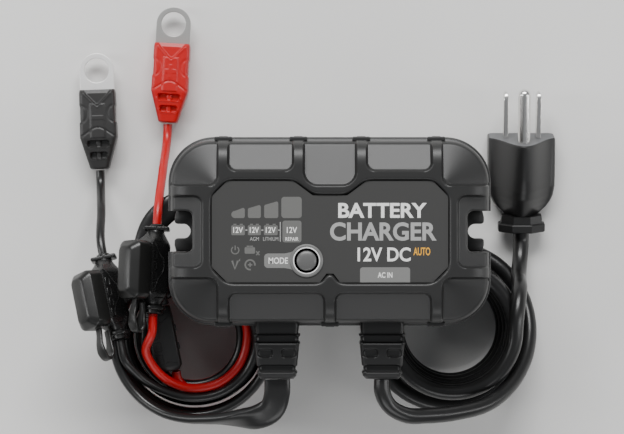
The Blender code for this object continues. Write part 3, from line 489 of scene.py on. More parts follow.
def dc_cable():
    """The flat cable: down the coil on edge, under the case to its top edge, and round to the splitter."""
    start = GROMMET_END - 0.4
    exit_z = -TABLE_Z / MM
    route = [
        (-GROMMET_X, start, exit_z), (-GROMMET_X, start - 5.0, exit_z - 0.2), (-21.2, -65.6, exit_z - 1.8),
        (-26.6, -69.0, exit_z - 4.2), (-33.6, -69.9, exit_z - 7.2), (-42.4, -70.3, exit_z - 11.2),
        (-51.8, -70.5, 44.4),
    ]
    route += on_circle(DC_COIL, 29.8, (248, 228, 212), (39.2, 35.8, 34.6))
    heights = [(-630, 4.9), (-250, 18.4), (110, 31.6), (150, 32.6), (180, 33.5), (200, 34.2)]
    route += wound(DC_COIL, 196, -630, [(0, 29.8)], heights)
    split = path_length(smooth_path(world(route), 2 * MM))
    route += [
        (-42.0, -10.9, 4.9), (-34.0, -10.9, 4.9), (-25.0, -9.6, 6.0), (-17.5, -4.0, 8.0),
        (-16.0, 5.0, 11.0), (-22.0, 12.0, 15.0), (-33.0, 13.6, 20.4), (-46.0, 12.6, 26.4),
        (-58.0, 10.2, 29.0), (-66.4, 3.0, 30.4), (-69.8, -8.0, 31.2), (-68.9, -17.0, 31.9),
        (-66.8, -23.8, 31.3), (-65.8, -28.4, 30.1),
    ]
    points = smooth_path(world(route), 1.5 * MM)
    total = path_length(points)
    coiled = split / total
    rolls = [(0, 0), (0.012, 1), (0.058, 82), (0.075, 90), (coiled + 0.02, 90)]
    rolls += [(coiled + (1 - coiled) * 0.55, 4), (1, 0)]
    return band("dc_cable_whole", points, rolls, CORD), points


def leads():
    """The two leads: from the splitter down the coil, up its inside, then a turn back to the fuse holders."""
    starts = {"red": (-58.4, -53.5), "black": (-62.9, -54.4)}
    turn_back = [
        (-43.0, -16.6, 26.9), (-49.0, -15.3, 28.2), (-53.8, -17.2, 29.3), (-55.8, -22.0, 30.2),
        (-53.8, -26.8, 30.8), (-49.0, -28.8, 31.1), (-41.6, -28.6, 31.2),
    ]
    red_end = turn_back + [(-35.4, -30.2, 31.1), (-31.9, -34.8, 30.9)]
    heights = (30.4, 29.8, 29.8, 31.4, 34.6, 37.4, 40.0)
    red_end += on_circle(LEAD_TURN, RED_TURN_R, (356, 328, 296, 262, 232, 210, 194), heights)
    black_end = [(x, y, z + 3.7) for x, y, z in turn_back] + [(-34.4, -29.4, 34.7), (-29.4, -33.8, 34.2)]
    black_end += on_circle(LEAD_TURN, BLACK_TURN_R, (356, 328, 296, 268), (32.4, 30.6, 30.3, 30.8))
    black_end += [(-62.2, -61.0, 32.0), (-71.6, -55.4, 35.4)]
    # knots of the radius and of the height over the angle, and the way on from the coil
    winding = {
        "red": (
            [(262, 19.0), (290, 22.5), (330, 25.6), (690, 25.6), (740, 22.1), (1100, 22.1), (1817, 18.0)],
            [(262, 26.4), (280, 25.6), (300, 23.4), (330, 21.2), (690, 1.8), (740, 1.8), (1817, 22.4)],
            red_end,
        ),
        "black": (
            [(250, 20.8), (280, 23.0), (330, 25.6), (690, 25.6), (740, 22.1), (1100, 22.1), (1817, 18.0)],
            [(250, 26.5), (275, 27.0), (300, 26.9), (330, 24.7), (690, 5.2), (740, 5.3), (1817, 25.9)],
            black_end,
        ),
    }
    made = {}
    for colour, (x, y) in starts.items():
        radii, heights, end = winding[colour]
        route = [(x, y, 29.4), (x + 0.5, y - 2.4, 28.9), (x + 2.4, y - 5.2, 27.6), (x + 5.2, y - 7.0, 26.5)]
        route += wound(LEAD_COIL, heights[0][0] + 12, 1817 + 15, radii, heights)
        route += [(-39.0, -20.4, end[0][2] - 1.6)] + end
        points = world(route)
        points += [holder_place(colour) @ Vector((0, -y * MM, 0)) for y in (23.4, 20.4, HOLDER_END)]
        points = smooth_path(points, 1.0 * MM)
        made[colour] = cord_curve(f"{colour}_lead_whole", points, LEAD_D, IN_COLOUR[colour]), points
    return made


def battery_leads():
    """From each fuse holder to the boot of its ring terminal."""
    made = {}
    for colour in HOLDERS:
        top = holder_place(colour) @ Vector((0, HOLDER_END * MM, 0))
        away = holder_place(colour).to_3x3() @ Vector((0, 1, 0))
        end = boot_place(colour) @ Vector((0, -BOOT_END * MM, 0))
        onward = boot_place(colour).to_3x3() @ Vector((0, 1, 0))
        drop = [top, top + away * 2.5 * MM, top.lerp(end, 0.5) + Vector((0, 0, 1.2 * MM))]
        points = smooth_path(drop + [end - onward * 3 * MM, end], 1.0 * MM)
        made[colour] = cord_curve(f"{colour}_battery_lead_whole", points, LEAD_D, IN_COLOUR[colour]), points
    return made


# ---------------------------------------------------------------- case

HALF_W = 59.7
HALF_H = 34.9
CORNER_R = 17.0
RIM_Z = 14.0
FRAME_RISE = 10.0
POCKET_X = 49.9
POCKET_Y = 7.5
POCKET_R = 2.2
POCKET_SHARE = 0.419


def case_columns():
    """Each column's place on the sides and the way it faces, anticlockwise from the right-hand side."""
    side = [np.linspace(-1, -0.4205, 42), np.linspace(-0.4184, 0.4184, 56), np.linspace(0.4205, 1, 42)]
    arcs = np.linspace(0, math.pi / 2, 62)
    half = [(1, v, 1, 0) for v in np.concatenate(side)[1:-1]]
    half += [(1, 1, math.cos(a), math.sin(a)) for a in arcs]
    half += [(u, 1, 0, 1) for u in np.linspace(1, -1, 285)[1:-1]]
    half += [(-1, 1, -math.sin(a), math.cos(a)) for a in arcs]
    return np.concatenate([np.array(half), -np.array(half)])


def ring_plan(columns, inset):
    """Where the columns are in plan, this far in from the case's sides."""
    radius = max(CORNER_R - inset, 1.0)
    x = columns[:, 0] * (HALF_W - inset - radius) + columns[:, 2] * radius
    y = columns[:, 1] * (HALF_H - inset - radius) + columns[:, 3] * radius
    return x, y


def sunk_panels(x, y):
    """(share sunk, height of its floor) of each panel between the ribs."""
    ax, ay = np.abs(x), np.abs(y)
    reach = np.hypot(np.maximum(ax - 40.7, 0), np.maximum(ay - 16.8, 0))
    found = (
        (box_distance(ax, y, 13.4, 36.85, 22.05, 70, 3.0), 22.6 - 0.42 * (y - 22.05)),
        (box_distance(x, y, -9.5, 9.5, 16.7, 70, 5.2), 22.7 - 0.34 * (y - 16.7)),
        (box_distance(ax, y, 2.0, 36.7, -70, -22.2, 3.0), 22.6 - 0.42 * (-22.2 - y)),
        (box_distance(ax, ay, 40.75, 90, 16.8, 70, 3.2), 22.7 - 0.34 * reach),
        (box_distance(ax, y, 46.35, 90, -12.9, 12.9, 2.8), 22.6 - 0.3 * (ax - 46.35)),
    )
    return [(eased(0.5 - d / 0.8), z) for d, z in found]


def pocket_wall(y):
    """X of the side pocket's inner wall."""
    over = np.clip(np.abs(y) - (POCKET_Y - POCKET_R), 0, POCKET_R - 0.001)
    return POCKET_X + POCKET_R - np.sqrt(POCKET_R**2 - over**2)


def beside_pocket(columns):
    """Which columns run down the inside of a side pocket."""
    return (np.abs(columns[:, 2]) == 1) & (np.abs(columns[:, 1]) < POCKET_SHARE)


HOLE_RIGHT = [(1.0, -15.5), (3.4, -18.7), (37.4, -18.7), (43.1, -13.0)]
HOLE_RIGHT += [(43.1, 13.0), (37.4, 18.7), (13.0, 18.7), (5.9, 13.4)]
LABEL_HOLE = HOLE_RIGHT + [(-x, y) for x, y in HOLE_RIGHT[::-1]]


def softened(corners, reach):
    """An outline with each corner turned into a short curve."""
    made = []
    for i, corner in enumerate(corners):
        at = Vector(corner)
        before, after = Vector(corners[i - 1]) - at, Vector(corners[(i + 1) % len(corners)]) - at
        start = at + before.normalized() * min(reach, before.length * 0.45)
        end = at + after.normalized() * min(reach, after.length * 0.45)
        for t in (0.0, 0.25, 0.5, 0.75, 1.0):
            made.append(tuple(start * (1 - t) ** 2 + at * 2 * t * (1 - t) + end * t * t))
    return made


def front_shell():
    """The front half: its walls, the rounded frame, the panels sunk between the ribs and the label's hole."""
    columns = case_columns()
    opening = softened(LABEL_HOLE, 2.6)
    # heights, and how far in from the sides
    walls = [(0.15, 0.8), (0.5, 0.75), (1.2, 0.8), (1.6, 1.15), (1.9, 1.3)]
    walls += [(z, 1.3 + 0.015 * z) for z in (3.5, 6.0, 8.5, 10.5, 12.5)]
    levels = [(z, inset, True) for z, inset in walls]
    for inset in np.arange(1.5, 22.6, 0.3):
        t = min((inset - 1.5) / FRAME_RISE, 1.0)
        levels.append((RIM_Z + FRAME_RISE * (1 - (1 - t) ** 2.5) ** (1 / 2.5), inset, False))
    rows = []
    for z, inset, is_wall in levels:
        x, y = ring_plan(columns, inset)
        height = np.full(x.shape, z)
        pull = np.zeros(x.shape)
        for share, floor in sunk_panels(x, y):
            if is_wall:
                pull += share * max(1.7 - inset, 0) * (z > 1.5)
                continue
            t = (inset - 1.5) / 1.6
            if t < 1:
                edge = floor - 0.4 * (3.1 - inset)
                target = RIM_Z + (edge - RIM_Z) * (1.7 * t - 0.7 * t * t)
                pull += share * (1.7 + 1.4 * t * t - inset)
            else:
                target = floor
            height += share * (target - height)
        hole = polygon_distance(x, y, opening)
        height -= np.where(hole > 0, lip(hole, 1.0), 1.0 + 1.1 * np.clip(-hole / 0.25, 0, 1))
        pocket = box_distance(np.abs(x), y, POCKET_X, 90, -POCKET_Y, POCKET_Y, POCKET_R)
        height -= np.where((pocket > 0) & (z > 13), lip(pocket, 0.7), 0)
        rows.append(np.stack([x - columns[:, 2] * pull, y - columns[:, 3] * pull, height], axis=1))
    rows = np.array(rows)
    for i in np.flatnonzero(beside_pocket(columns)):
        side = columns[i, 2]
        wall = float(pocket_wall(rows[0, i, 1]))
        inner = int(np.argmax(np.abs(rows[:, i, 0]) <= wall))
        top = rows[inner, i, 2] - 0.5
        for k in range(inner):
            rows[k, i, 0] = side * wall
            rows[k, i, 2] = 0.15 + (top - 0.15) * k / (inner - 1)
    return skin("front_case", rows * MM, CASE, 55, (False, False), False)


def rear_case():
    """The rear half, from its inner walls over the rim and down its outside, and the pad on its back."""
    columns = case_columns()
    # heights, and how far in from the sides
    inner = [(-20.6, 8.6), (-18.5, 5.6), (-13.0, 3.9), (-0.15, 3.7)]
    rim = [(-0.15, 0.5), (-0.25, 0.2), (-0.5, 0.05), (-0.9, 0.0)]
    rim += [(-2.2, 0.0), (-2.6, 0.1), (-2.8, 0.5), (-3.0, 0.85)]
    outer = [(-3.6, 0.95), (-8.0, 1.0), (-13.0, 1.15), (-16.0, 1.7), (-18.5, 2.6)]
    outer += [(-20.3, 3.6), (-21.6, 4.7), (-22.6, 6.0), (-23.05, 7.2), (-23.2, 8.4)]
    rows = []
    for k, (z, inset) in enumerate(inner + rim + outer):
        x, y = ring_plan(columns, inset)
        pull = np.zeros(x.shape)
        if k >= len(inner + rim):
            pull += sum(share for share, _ in sunk_panels(*ring_plan(columns, 1.0))) * 0.8
        x, y = x - columns[:, 2] * pull, y - columns[:, 3] * pull
        if k < len(inner):
            near = (np.abs(columns[:, 2]) == 1) & (np.abs(y) < 10.2)
            x = np.where(near, np.sign(x) * np.minimum(np.abs(x), 46.9), x)
        else:
            x = np.where(beside_pocket(columns), np.sign(x) * pocket_wall(y), x)
        rows.append(np.stack([x, y, np.full(x.shape, z)], axis=1))
    shell = shaped("rear_case", rows, CASE, 50)
    for sx in (-1, 1):
        for sy in (-1, 1):
            at_screw = Matrix.Translation((sx * 0.044, sy * 0.024, 0))
            seat = turned("seat_cutter", [(3.6, -30), (3.6, -19.5)], None, at_screw)
            change = shell.modifiers.new("seat", "BOOLEAN")
            change.operation = "DIFFERENCE"
            change.solver = "EXACT"
            change.object = seat
            bpy.context.view_layer.objects.active = shell
            bpy.ops.object.modifier_apply(modifier=change.name)
            bpy.data.objects.remove(seat, do_unlink=True)
    pad = cushion("back_pad", (17, 29, 0.6), 4, 0.35, CORD)
    return shell, at_place(pad, Matrix.Translation((0, 0, -23.4 * MM)))


def lug(side):
    """The mounting lug at the bottom of a side pocket, with its open slot."""
    outline = arc(54.9, 0, 2.7, 90, 270, 24) + arc(57.0, -3.9, 1.2, 90, 0, 6)
    outline += [(58.2, -5.2), (57.6, -7.6), (49.0, -7.6), (49.0, 7.6), (57.6, 7.6), (58.2, 5.2)]
    outline += arc(57.0, 3.9, 1.2, 0, -90, 6)
    rows = []
    for z, grow in ((-22.9, 0.35), (-22.6, 0.1), (-22.2, 0), (-17.5, 0), (-17.15, 0.12), (-17.0, 0.4)):
        row = []
        for i, (x, y) in enumerate(outline):
            (px, py), (nx, ny) = outline[i - 1], outline[(i + 1) % len(outline)]
            dx, dy = nx - px, ny - py
            size = math.hypot(dx, dy) or 1
            row.append((side * (x + grow * dy / size), y - grow * dx / size, z))
        rows.append(row)
    return shaped(f"{'right' if side > 0 else 'left'}_lug", rows, CASE, 40)


def rib_clips():
    """Short flanges that hook each rib over the case's rim."""
    made = []
    places = [(s * x, 33.8, 0) for s in (-1, 1) for x in (11.45, 38.8)]
    places += [(x, -33.8, 0) for x in (-38.8, 0, 38.8)]
    places += [(s * 57.5, t * 14.85, 90) for s in (-1, 1) for t in (-1, 1)]
    hook, post = ((3.3, 0.85, 1.3), 0.6, 0.4, 14.2), ((1.95, 1.0, 7.4), 0.7, 0.5, 8.0)
    for x, y, turn in places:
        spin = Matrix.Rotation(math.radians(turn), 4, "Z")
        for half, radius, edge, z in (hook, post):
            piece = cushion("clip", half, radius, edge)
            made.append(at_place(piece, Matrix.Translation((x * MM, y * MM, z * MM)) @ spin))
    return joined("rib_clips", made, CASE, 50)


# ---------------------------------------------------------------- label print and button

PRINT_Z = 23.0
ON_TOP = (0.03, 0.09)
PRINTS = {}


def add_flat(slot, points, low=0.0, high=0.05):
    """A flat printed shape, from its outline in millimetres."""
    bm = PRINTS.setdefault(slot, bmesh.new())
    lower = [bm.verts.new((x * MM, y * MM, (PRINT_Z + low) * MM)) for x, y in points]
    upper = [bm.verts.new((x * MM, y * MM, (PRINT_Z + high) * MM)) for x, y in points]
    bm.faces.new(upper)
    bm.faces.new(lower[::-1])
    for i in range(len(points)):
        j = (i + 1) % len(points)
        bm.faces.new((lower[i], lower[j], upper[j], upper[i]))


def add_text(slot, text, x0, x1, y0, y1, weight=0.0, low=0.0, high=0.05):
    """Lettering that fills a box, in millimetres."""
    curve = bpy.data.curves.new("lettering", "FONT")
    curve.body = text
    curve.offset = weight
    curve.extrude = 0.05
    curve.resolution_u = 4
    obj = bpy.data.objects.new("lettering", curve)
    bpy.context.scene.collection.objects.link(obj)
    bpy.context.view_layer.update()
    mesh = bpy.data.meshes.new_from_object(obj.evaluated_get(bpy.context.evaluated_depsgraph_get()))
    bpy.data.objects.remove(obj, do_unlink=True)
    points = np.array([v.co[:] for v in mesh.vertices])
    least, most = points.min(axis=0), points.max(axis=0)
    share = (points - least) / (most - least)
    lows = np.array([x0, y0, PRINT_Z + low])
    highs = np.array([x1, y1, PRINT_Z + high])
    placed = (lows + share * (highs - lows)) * MM
    for vertex, place in zip(mesh.vertices, placed):
        vertex.co = place
    PRINTS.setdefault(slot, bmesh.new()).from_mesh(mesh)
    bpy.data.meshes.remove(mesh)


def add_stroke(slot, points, width, low=0.0, high=0.05):
    """A printed line of even width through points."""
    left, right = [], []
    for i, (x, y) in enumerate(points):
        px, py = points[max(i - 1, 0)]
        nx, ny = points[min(i + 1, len(points) - 1)]
        dx, dy = nx - px, ny - py
        size = math.hypot(dx, dy)
        ox, oy = -dy / size * width / 2, dx / size * width / 2
        left.append((x + ox, y + oy))
        right.append((x - ox, y - oy))
    add_flat(slot, right + left[::-1], low, high)


def arc(x, y, radius, start, stop, steps=24):
    """Points along an arc, from start to stop in degrees."""
    angles = [math.radians(start + (stop - start) * i / steps) for i in range(steps + 1)]
    return [(x + radius * math.cos(a), y + radius * math.sin(a)) for a in angles]


def bar(x0, x1, low, left_top, right_top, radius, round_left=False):
    """A bar whose top slopes up to the right, with round corners."""
    r0 = min((left_top - low) / 2.02, 1.6) if round_left else radius
    points = arc(x0 + r0, low + r0, r0, 180, 270, 8)
    points += arc(x1 - radius, low + radius, radius, 270, 360, 6)
    points += arc(x1 - radius, right_top - radius, radius, 0, 90, 6)
    return points + arc(x0 + r0, left_top - r0, r0, 90, 180, 8)


def battery_icon(slot, x0, x1, y0, y1):
    """A small battery: a rounded block with two posts on top."""
    add_flat(slot, bar(x0, x1, y0, y1, y1, 0.45))
    for x in (x0 + 1.3, x1 - 1.3):
        low, high = y1 - 0.1, y1 + 0.55
        add_flat(slot, [(x - 0.55, low), (x + 0.55, low), (x + 0.55, high), (x - 0.55, high)])


def label_print():
    """Level bars, battery types, status icons, button pill, side tab and lettering, one piece to a colour."""
    base = 4.9
    add_flat("grey", bar(-35.7, -30.8, base, 7.5, 8.6, 0.7, True))
    add_flat("grey", bar(-29.7, -25.0, base, 8.6, 9.6, 0.7))
    add_flat("grey", bar(-23.8, -18.7, base, 9.8, 10.9, 0.7))
    add_flat("grey", bar(-17.6, -10.2, base, 12.6, 12.6, 1.1))
    for x0, x1 in ((-35.7, -30.8), (-29.7, -25.0), (-23.9, -18.9)):
        battery_icon("grey", x0, x1, -1.3, 2.3)
        add_text("white", "12V", x0 + 0.7, x1 - 0.7, -0.45, 1.65, 0.012, *ON_TOP)
    for x0, x1 in ((-30.6, -29.9), (-24.8, -24.1), (-18.7, -18.2)):
        add_flat("light", [(x0, 0.35), (x1, 0.35), (x1, 0.75), (x0, 0.75)])
    add_flat("light", [(-18.12, -3.6), (-17.84, -3.6), (-17.84, 3.5), (-18.12, 3.5)])
    add_text("light", "AGM", -29.0, -25.7, -3.3, -1.95, 0.0)
    add_text("light", "LITHIUM", -24.2, -18.7, -3.3, -1.95, 0.0)
    add_flat("grey", bar(-17.2, -10.3, -3.9, 4.0, 4.0, 0.9))
    add_text("white", "12V", -15.6, -11.9, -0.5, 1.7, 0.012, *ON_TOP)
    add_text("white", "REPAIR", -16.1, -11.4, -3.3, -2.0, 0.0, *ON_TOP)
    add_stroke("grey", arc(-34.3, -6.7, 1.35, 125, 415), 0.42)
    add_stroke("grey", [(-34.3, -5.0), (-34.3, -6.7)], 0.42)
    battery_icon("grey", -30.9, -27.1, -8.0, -5.6)
    add_stroke("grey", [(-26.7, -7.1), (-25.5, -8.5)], 0.5)
    add_stroke("grey", [(-25.5, -7.1), (-26.7, -8.5)], 0.5, 0.0, 0.07)
    add_stroke("grey", [(-35.4, -10.5), (-34.4, -13.5), (-33.3, -10.5)], 0.75)
    add_flat("grey", [(-33.4, -10.7), (-32.5, -10.7), (-32.5, -9.7)])
    add_stroke("grey", arc(-28.9, -12.0, 1.75, 280, -10), 0.6)
    add_stroke("grey", [(-29.7, -12.0), (-28.1, -12.0)], 0.5)
    add_stroke("grey", [(-28.9, -12.8), (-28.9, -11.2)], 0.5, 0.0, 0.07)
    pill = arc(*BUTTON_AT, 5.3, 140, 220, 16) + [(-13.0, -14.1), (-14.4, -13.5), (-16.5, -13.15)]
    pill += arc(-22.4, -11.75, 1.4, 270, 180, 8) + arc(-22.4, -9.3, 1.4, 180, 90, 8)
    pill += [(-16.5, -7.9), (-14.4, -7.5), (-13.0, -6.9)]
    add_flat("pill", pill)
    add_text("white", "MODE", -22.2, -15.2, -11.65, -9.35, 0.012, *ON_TOP)
    tab = [(10.9, -18.38), (29.0, -18.38)]
    tab += arc(28.0, -13.9, 1.0, 0, 90, 8) + arc(11.9, -13.9, 1.0, 90, 180, 8)
    add_flat("pill", tab)
    add_text("white", "AC IN", 17.3, 22.6, -16.7, -14.7, 0.018, *ON_TOP)
    add_text("white", "BATTERY", 3.0, 35.0, 5.0, 10.4, 0.028)
    add_text("bright", "CHARGER", 0.0, 38.6, -3.3, 3.4, 0.03)
    add_text("white", "12V DC", 10.0, 29.2, -10.8, -5.7, 0.022)
    add_text("amber", "AUTO", 30.2, 36.3, -8.6, -5.7, 0.02)
    made = []
    for slot, bm in PRINTS.items():
        mesh = bpy.data.meshes.new(f"print_{slot}")
        bm.to_mesh(mesh)
        bm.free()
        made.append(link(f"label_print_{slot}", mesh, PRINT_LOOKS[slot]))
    return made


def button_pieces():
    """The bezel's outer ring, its bright inner ring, and the button's dome with its stem."""
    place = Matrix.Translation((BUTTON_AT[0] * MM, BUTTON_AT[1] * MM, 0))
    outer = [(4.95, 23.02), (4.95, 23.5), (5.15, 23.62), (5.7, 23.6)]
    outer += [(5.95, 23.45), (6.05, 23.2), (6.05, 23.02)]
    ring = turned("bezel_outer", outer + outer[:1], BEZEL, place)
    bright = [(4.5, 23.02), (4.5, 23.72), (4.6, 23.86), (4.8, 23.86), (4.93, 23.7), (4.93, 23.02)]
    inner = turned("bezel_inner", bright + bright[:1], BRIGHT_RING, place)
    rise = [math.radians(a) for a in range(0, 91, 6)]
    dome = [(3.6 * math.sin(a), 23.35 + 0.95 * math.cos(a)) for a in rise]
    stem = [(3.62, 23.1), (3.6, 18.8), (4.9, 18.8), (4.9, 18.1), (2.0, 18.1), (2.0, 17.8), (0, 17.8)]
    cap = turned("mode_button_cap", dome + stem, BUTTON, place, 96)
    return ring, inner, cap


# ---------------------------------------------------------------- strain reliefs


def strain_relief(name, centre):
    """A tapered block with two bands pressed in all round, two short slots between them, and raised lips."""
    rows = []
    for y in np.concatenate([np.arange(-33.4, -53.4, -0.2), np.arange(-53.4, -54.41, -0.12)]):
        share = (-35.2 - y) / (-35.2 - GROMMET_END)
        neck = 1 - eased((-37.6 - y) / 0.5)
        chamfer = max(0.0, -53.2 - y)
        half_x = 8.8 - 1.8 * min(max(share, 0), 1) - 0.8 * neck - 0.8 * chamfer
        half_z = 0.77 * half_x - 0.3 * chamfer
        lips = sum(math.exp(-(((y - at) / 0.28) ** 2)) for at in (-41.25, -52.05, -37.75))
        grow = 0.28 * lips * (1 - neck)
        row = []
        for px, pz in rounded(half_x, half_z, 1.5, 5, 44):
            face = eased((abs(pz) - half_z + 0.9) / 0.6)
            sunk = 0.0
            for low, high in ((-40.9, -38.3), (-51.7, -49.3)):
                across = box_distance(px, y, -half_x + 1.0, half_x - 1.0, low, high, 0.9)
                edge = (1 - face) * eased(0.5 - (abs(y - (low + high) / 2) - 0.9) / 0.5)
                sunk = max(sunk, face * eased(0.5 - across / 0.5), 0.55 * edge)
            for low, high in ((-6.9, -1.7), (1.7, 6.9)):
                short = box_distance(px, y, low, high, -46.3, -43.3, 1.1)
                sunk = max(sunk, 0.75 * face * eased(0.5 - short / 0.5))
            rise_x = (grow if abs(px) > half_x - 0.6 else 0) - sunk * 1.2 * (1 - face)
            rise_z = grow * face - sunk * 1.7 * face
            row.append((centre + px + rise_x * math.copysign(1, px), y, pz + rise_z * math.copysign(1, pz)))
        rows.append(row)
    return shaped(name, rows, MOULD, 55)


# ---------------------------------------------------------------- mains plug


BLADE_ROOT = 36.3
BLADE_X = 6.35
PIN_R = 2.4


def plug_place():
    """The plug's own frame: +Y from its collar to its blades, +Z up to its rounded top."""
    return Matrix.Translation(world([PLUG_AT])[0]) @ Matrix.Rotation(PLUG_TILT, 4, "X")


def plug_section(t, half_w, low, high):
    """A section with a flat underside, upright sides and a bell-shaped top."""
    side = low + 0.40 * (high - low)
    points = []
    for i in range(41):
        x = half_w * (1 - 2 * i / 40)
        bell = (0.5 + 0.5 * math.cos(math.pi * x / half_w)) ** 0.9
        points.append((x, t, side + (high - side) * bell - 0.9 * max(0, abs(x) / half_w - 0.95) / 0.05))
    points += [(-half_w, t, side - 1.2 - (side - 1.2 - low - 1.5) * i / 5) for i in range(6)]
    points += [(-half_w + 1.5 * (1 - math.cos(a)), t, low + 1.5 * (1 - math.sin(a))) for a in (0.5, 1.0, 1.5)]
    points += [(-half_w + 1.6 + (2 * half_w - 3.2) * i / 12, t, low) for i in range(13)]
    points += [(half_w - 1.5 * (1 - math.cos(a)), t, low + 1.5 * (1 - math.sin(a))) for a in (1.5, 1.0, 0.5)]
    points += [(half_w, t, low + 1.5 + (side - 1.2 - low - 1.5) * i / 5) for i in range(6)]
    return points


def mains_plug():
    """The body, its face, the collar, the two blades and the pin."""
    place = plug_place()
    # how far along, half the width, the underside and the top
    stations = [
        (6.6, 6.6, -5.0, 5.0), (7.6, 7.6, -5.9, 5.8), (9.4, 9.7, -6.9, 6.9), (11.6, 11.2, -7.7, 8.5),
        (14.2, 12.3, -8.6, 10.2), (17.6, 12.85, -9.4, 11.4), (22.0, 12.95, -10.6, 12.1),
        (28.0, 12.95, -12.0, 12.5), (35.4, 12.95, -13.8, 12.75),
    ]
    rows = []
    for t in np.concatenate([np.linspace(6.6, 20, 30), np.linspace(21, 35.5, 18)]):
        sizes = [straight(t, [(station[0], station[k]) for station in stations]) for k in (1, 2, 3)]
        rows.append(plug_section(t, *sizes))
    _, half_w, low, high = stations[-1]
    for t, shrink in ((35.8, 0.05), (36.05, 0.2), (36.2, 0.5)):
        rows.append(plug_section(t, half_w - shrink, low + shrink, high - shrink))
    body = shaped("plug_shell", rows, PLUG_BLACK, 35, place, (True, False))
    front = [rows[-1], [(x * 0.02, t, z * 0.02) for x, t, z in rows[-1]]]
    face = shaped("plug_face", front, PLUG_FACE, 30, place, (False, True))
    octagon = [math.radians(22.5 + 45 * i) for i in range(8)]
    rings = []
    for t, wide, thick in (
        (0.0, 9.0, 5.2), (0.25, 9.5, 5.7), (0.6, 9.8, 5.9), (3.0, 9.8, 5.9), (3.35, 9.55, 5.7),
        (3.5, 8.7, 5.1), (6.5, 8.3, 5.0),
    ):
        rings.append([(wide * math.cos(a), t, thick * math.sin(a)) for a in octagon])
    collar = shaped("plug_neck", rings, PLUG_BLACK, 15, place)
    pieces = [body, face, collar]
    # how far along, half the thickness and half the width
    taper = [(BLADE_ROOT, 0.9, 3.15), (51.0, 0.9, 3.15), (52.6, 0.82, 2.9)]
    taper += [(53.6, 0.5, 2.2), (54.0, 0.25, 1.7)]
    for name, side in (("line", 1), ("neutral", -1)):
        rows = []
        for t, half_t, half_w in taper:
            rows.append([(side * BLADE_X + x, t, -6.0 + z) for x, z in rounded(half_t, half_w, 0.22, 3, 4)])
        pieces.append(shaped(f"{name}_blade_metal", rows, METAL, 35, place))
    turns = [math.radians(a) for a in range(8, 90, 8)]
    nose = [(PIN_R, 0.0), (PIN_R, 18.7)]
    nose += [(PIN_R * math.cos(a), 18.6 + PIN_R * math.sin(a)) for a in turns] + [(0, 21.0)]
    lying = Matrix.Translation((0, BLADE_ROOT * MM, 5.9 * MM)) @ Matrix.Rotation(-math.pi / 2, 4, "X")
    pieces.append(turned("ground_pin_metal", nose, METAL, place @ lying, 48))
    return pieces


# ---------------------------------------------------------------- cable splitter


def splitter():
    """The moulded block where the flat cable becomes two leads, with its small windows, lines and nubs."""
    place = Matrix.Translation(world([SPLITTER_AT])[0]) @ Matrix.Rotation(math.radians(SPLITTER_TURN), 4, "Z")
    rows = []
    for y, half_x, half_z in (
        (-12.4, 3.6, 2.8), (-12.2, 4.0, 3.2), (-10.8, 5.0, 3.95), (-10.3, 5.1, 4.0), (8.6, 5.1, 4.0),
        (9.2, 5.1, 3.95), (12.1, 4.8, 3.1), (12.4, 4.4, 2.7),
    ):
        rows.append([(x, y, z) for x, z in rounded(half_x, half_z, 1.3, 2, 2)])
    made = [shaped("body", rows, None, 30)]
    for y in (-7.4, -2.6, 2.2, 7.0):
        window = [(-2.6 + x, y + z, 4.02) for x, z in rounded(1.5, 1.75, 0.6, 4)]
        made.append(raised_line(window, 0.16, True))
    made.append(raised_line([(-4.6, 9.6, 4.0), (0.6, 6.2, 4.05), (4.6, 9.0, 4.0)], 0.17))
    made.append(raised_line([(-3.0, -11.0, 3.75), (0.2, -8.6, 4.05), (4.4, -10.0, 3.95)], 0.17))
    for y in (-3.5, 3.5):
        nub = cushion("nub", (0.5, 1.4, 1.2), 0.4, 0.3)
        made.append(at_place(nub, Matrix.Translation((5.15 * MM, y * MM, 0.5 * MM))))
    return at_place(joined("splitter_block", made, MOULD, 30), place)


# ---------------------------------------------------------------- fuse holders


def holder_place(colour):
    """The holder's own frame: +Y along the wire towards the terminal, +Z the way the cap pulls off."""
    at, plan, slope = HOLDERS[colour]
    turn = Matrix.Rotation(math.radians(plan), 4, "Z") @ Matrix.Rotation(math.radians(slope), 4, "X")
    return Matrix.Translation(world([at])[0]) @ turn @ Matrix.Rotation(math.radians(-HOLDER_LEAN), 4, "Y")


def holder_outline():
    """The holder's section: a flat mouth under the cap, upright sides and a round back."""
    points = [(4.2, 6.9), (2, 6.9), (0, 6.9), (-2, 6.9), (-4.2, 6.9), (-4.9, 6.6), (-5.2, 5.9)]
    points += [(-5.2, 5.6 - 6.8 * i / 8) for i in range(1, 9)]
    for i in range(1, 24):
        a = math.radians(180 + 180 * i / 24)
        points.append((5.2 * math.cos(a), -1.2 + 3.9 * math.sin(a)))
    points += [(5.2, -1.2 + 6.8 * i / 8) for i in range(9)]
    return points + [(5.2, 5.9), (4.9, 6.6)]


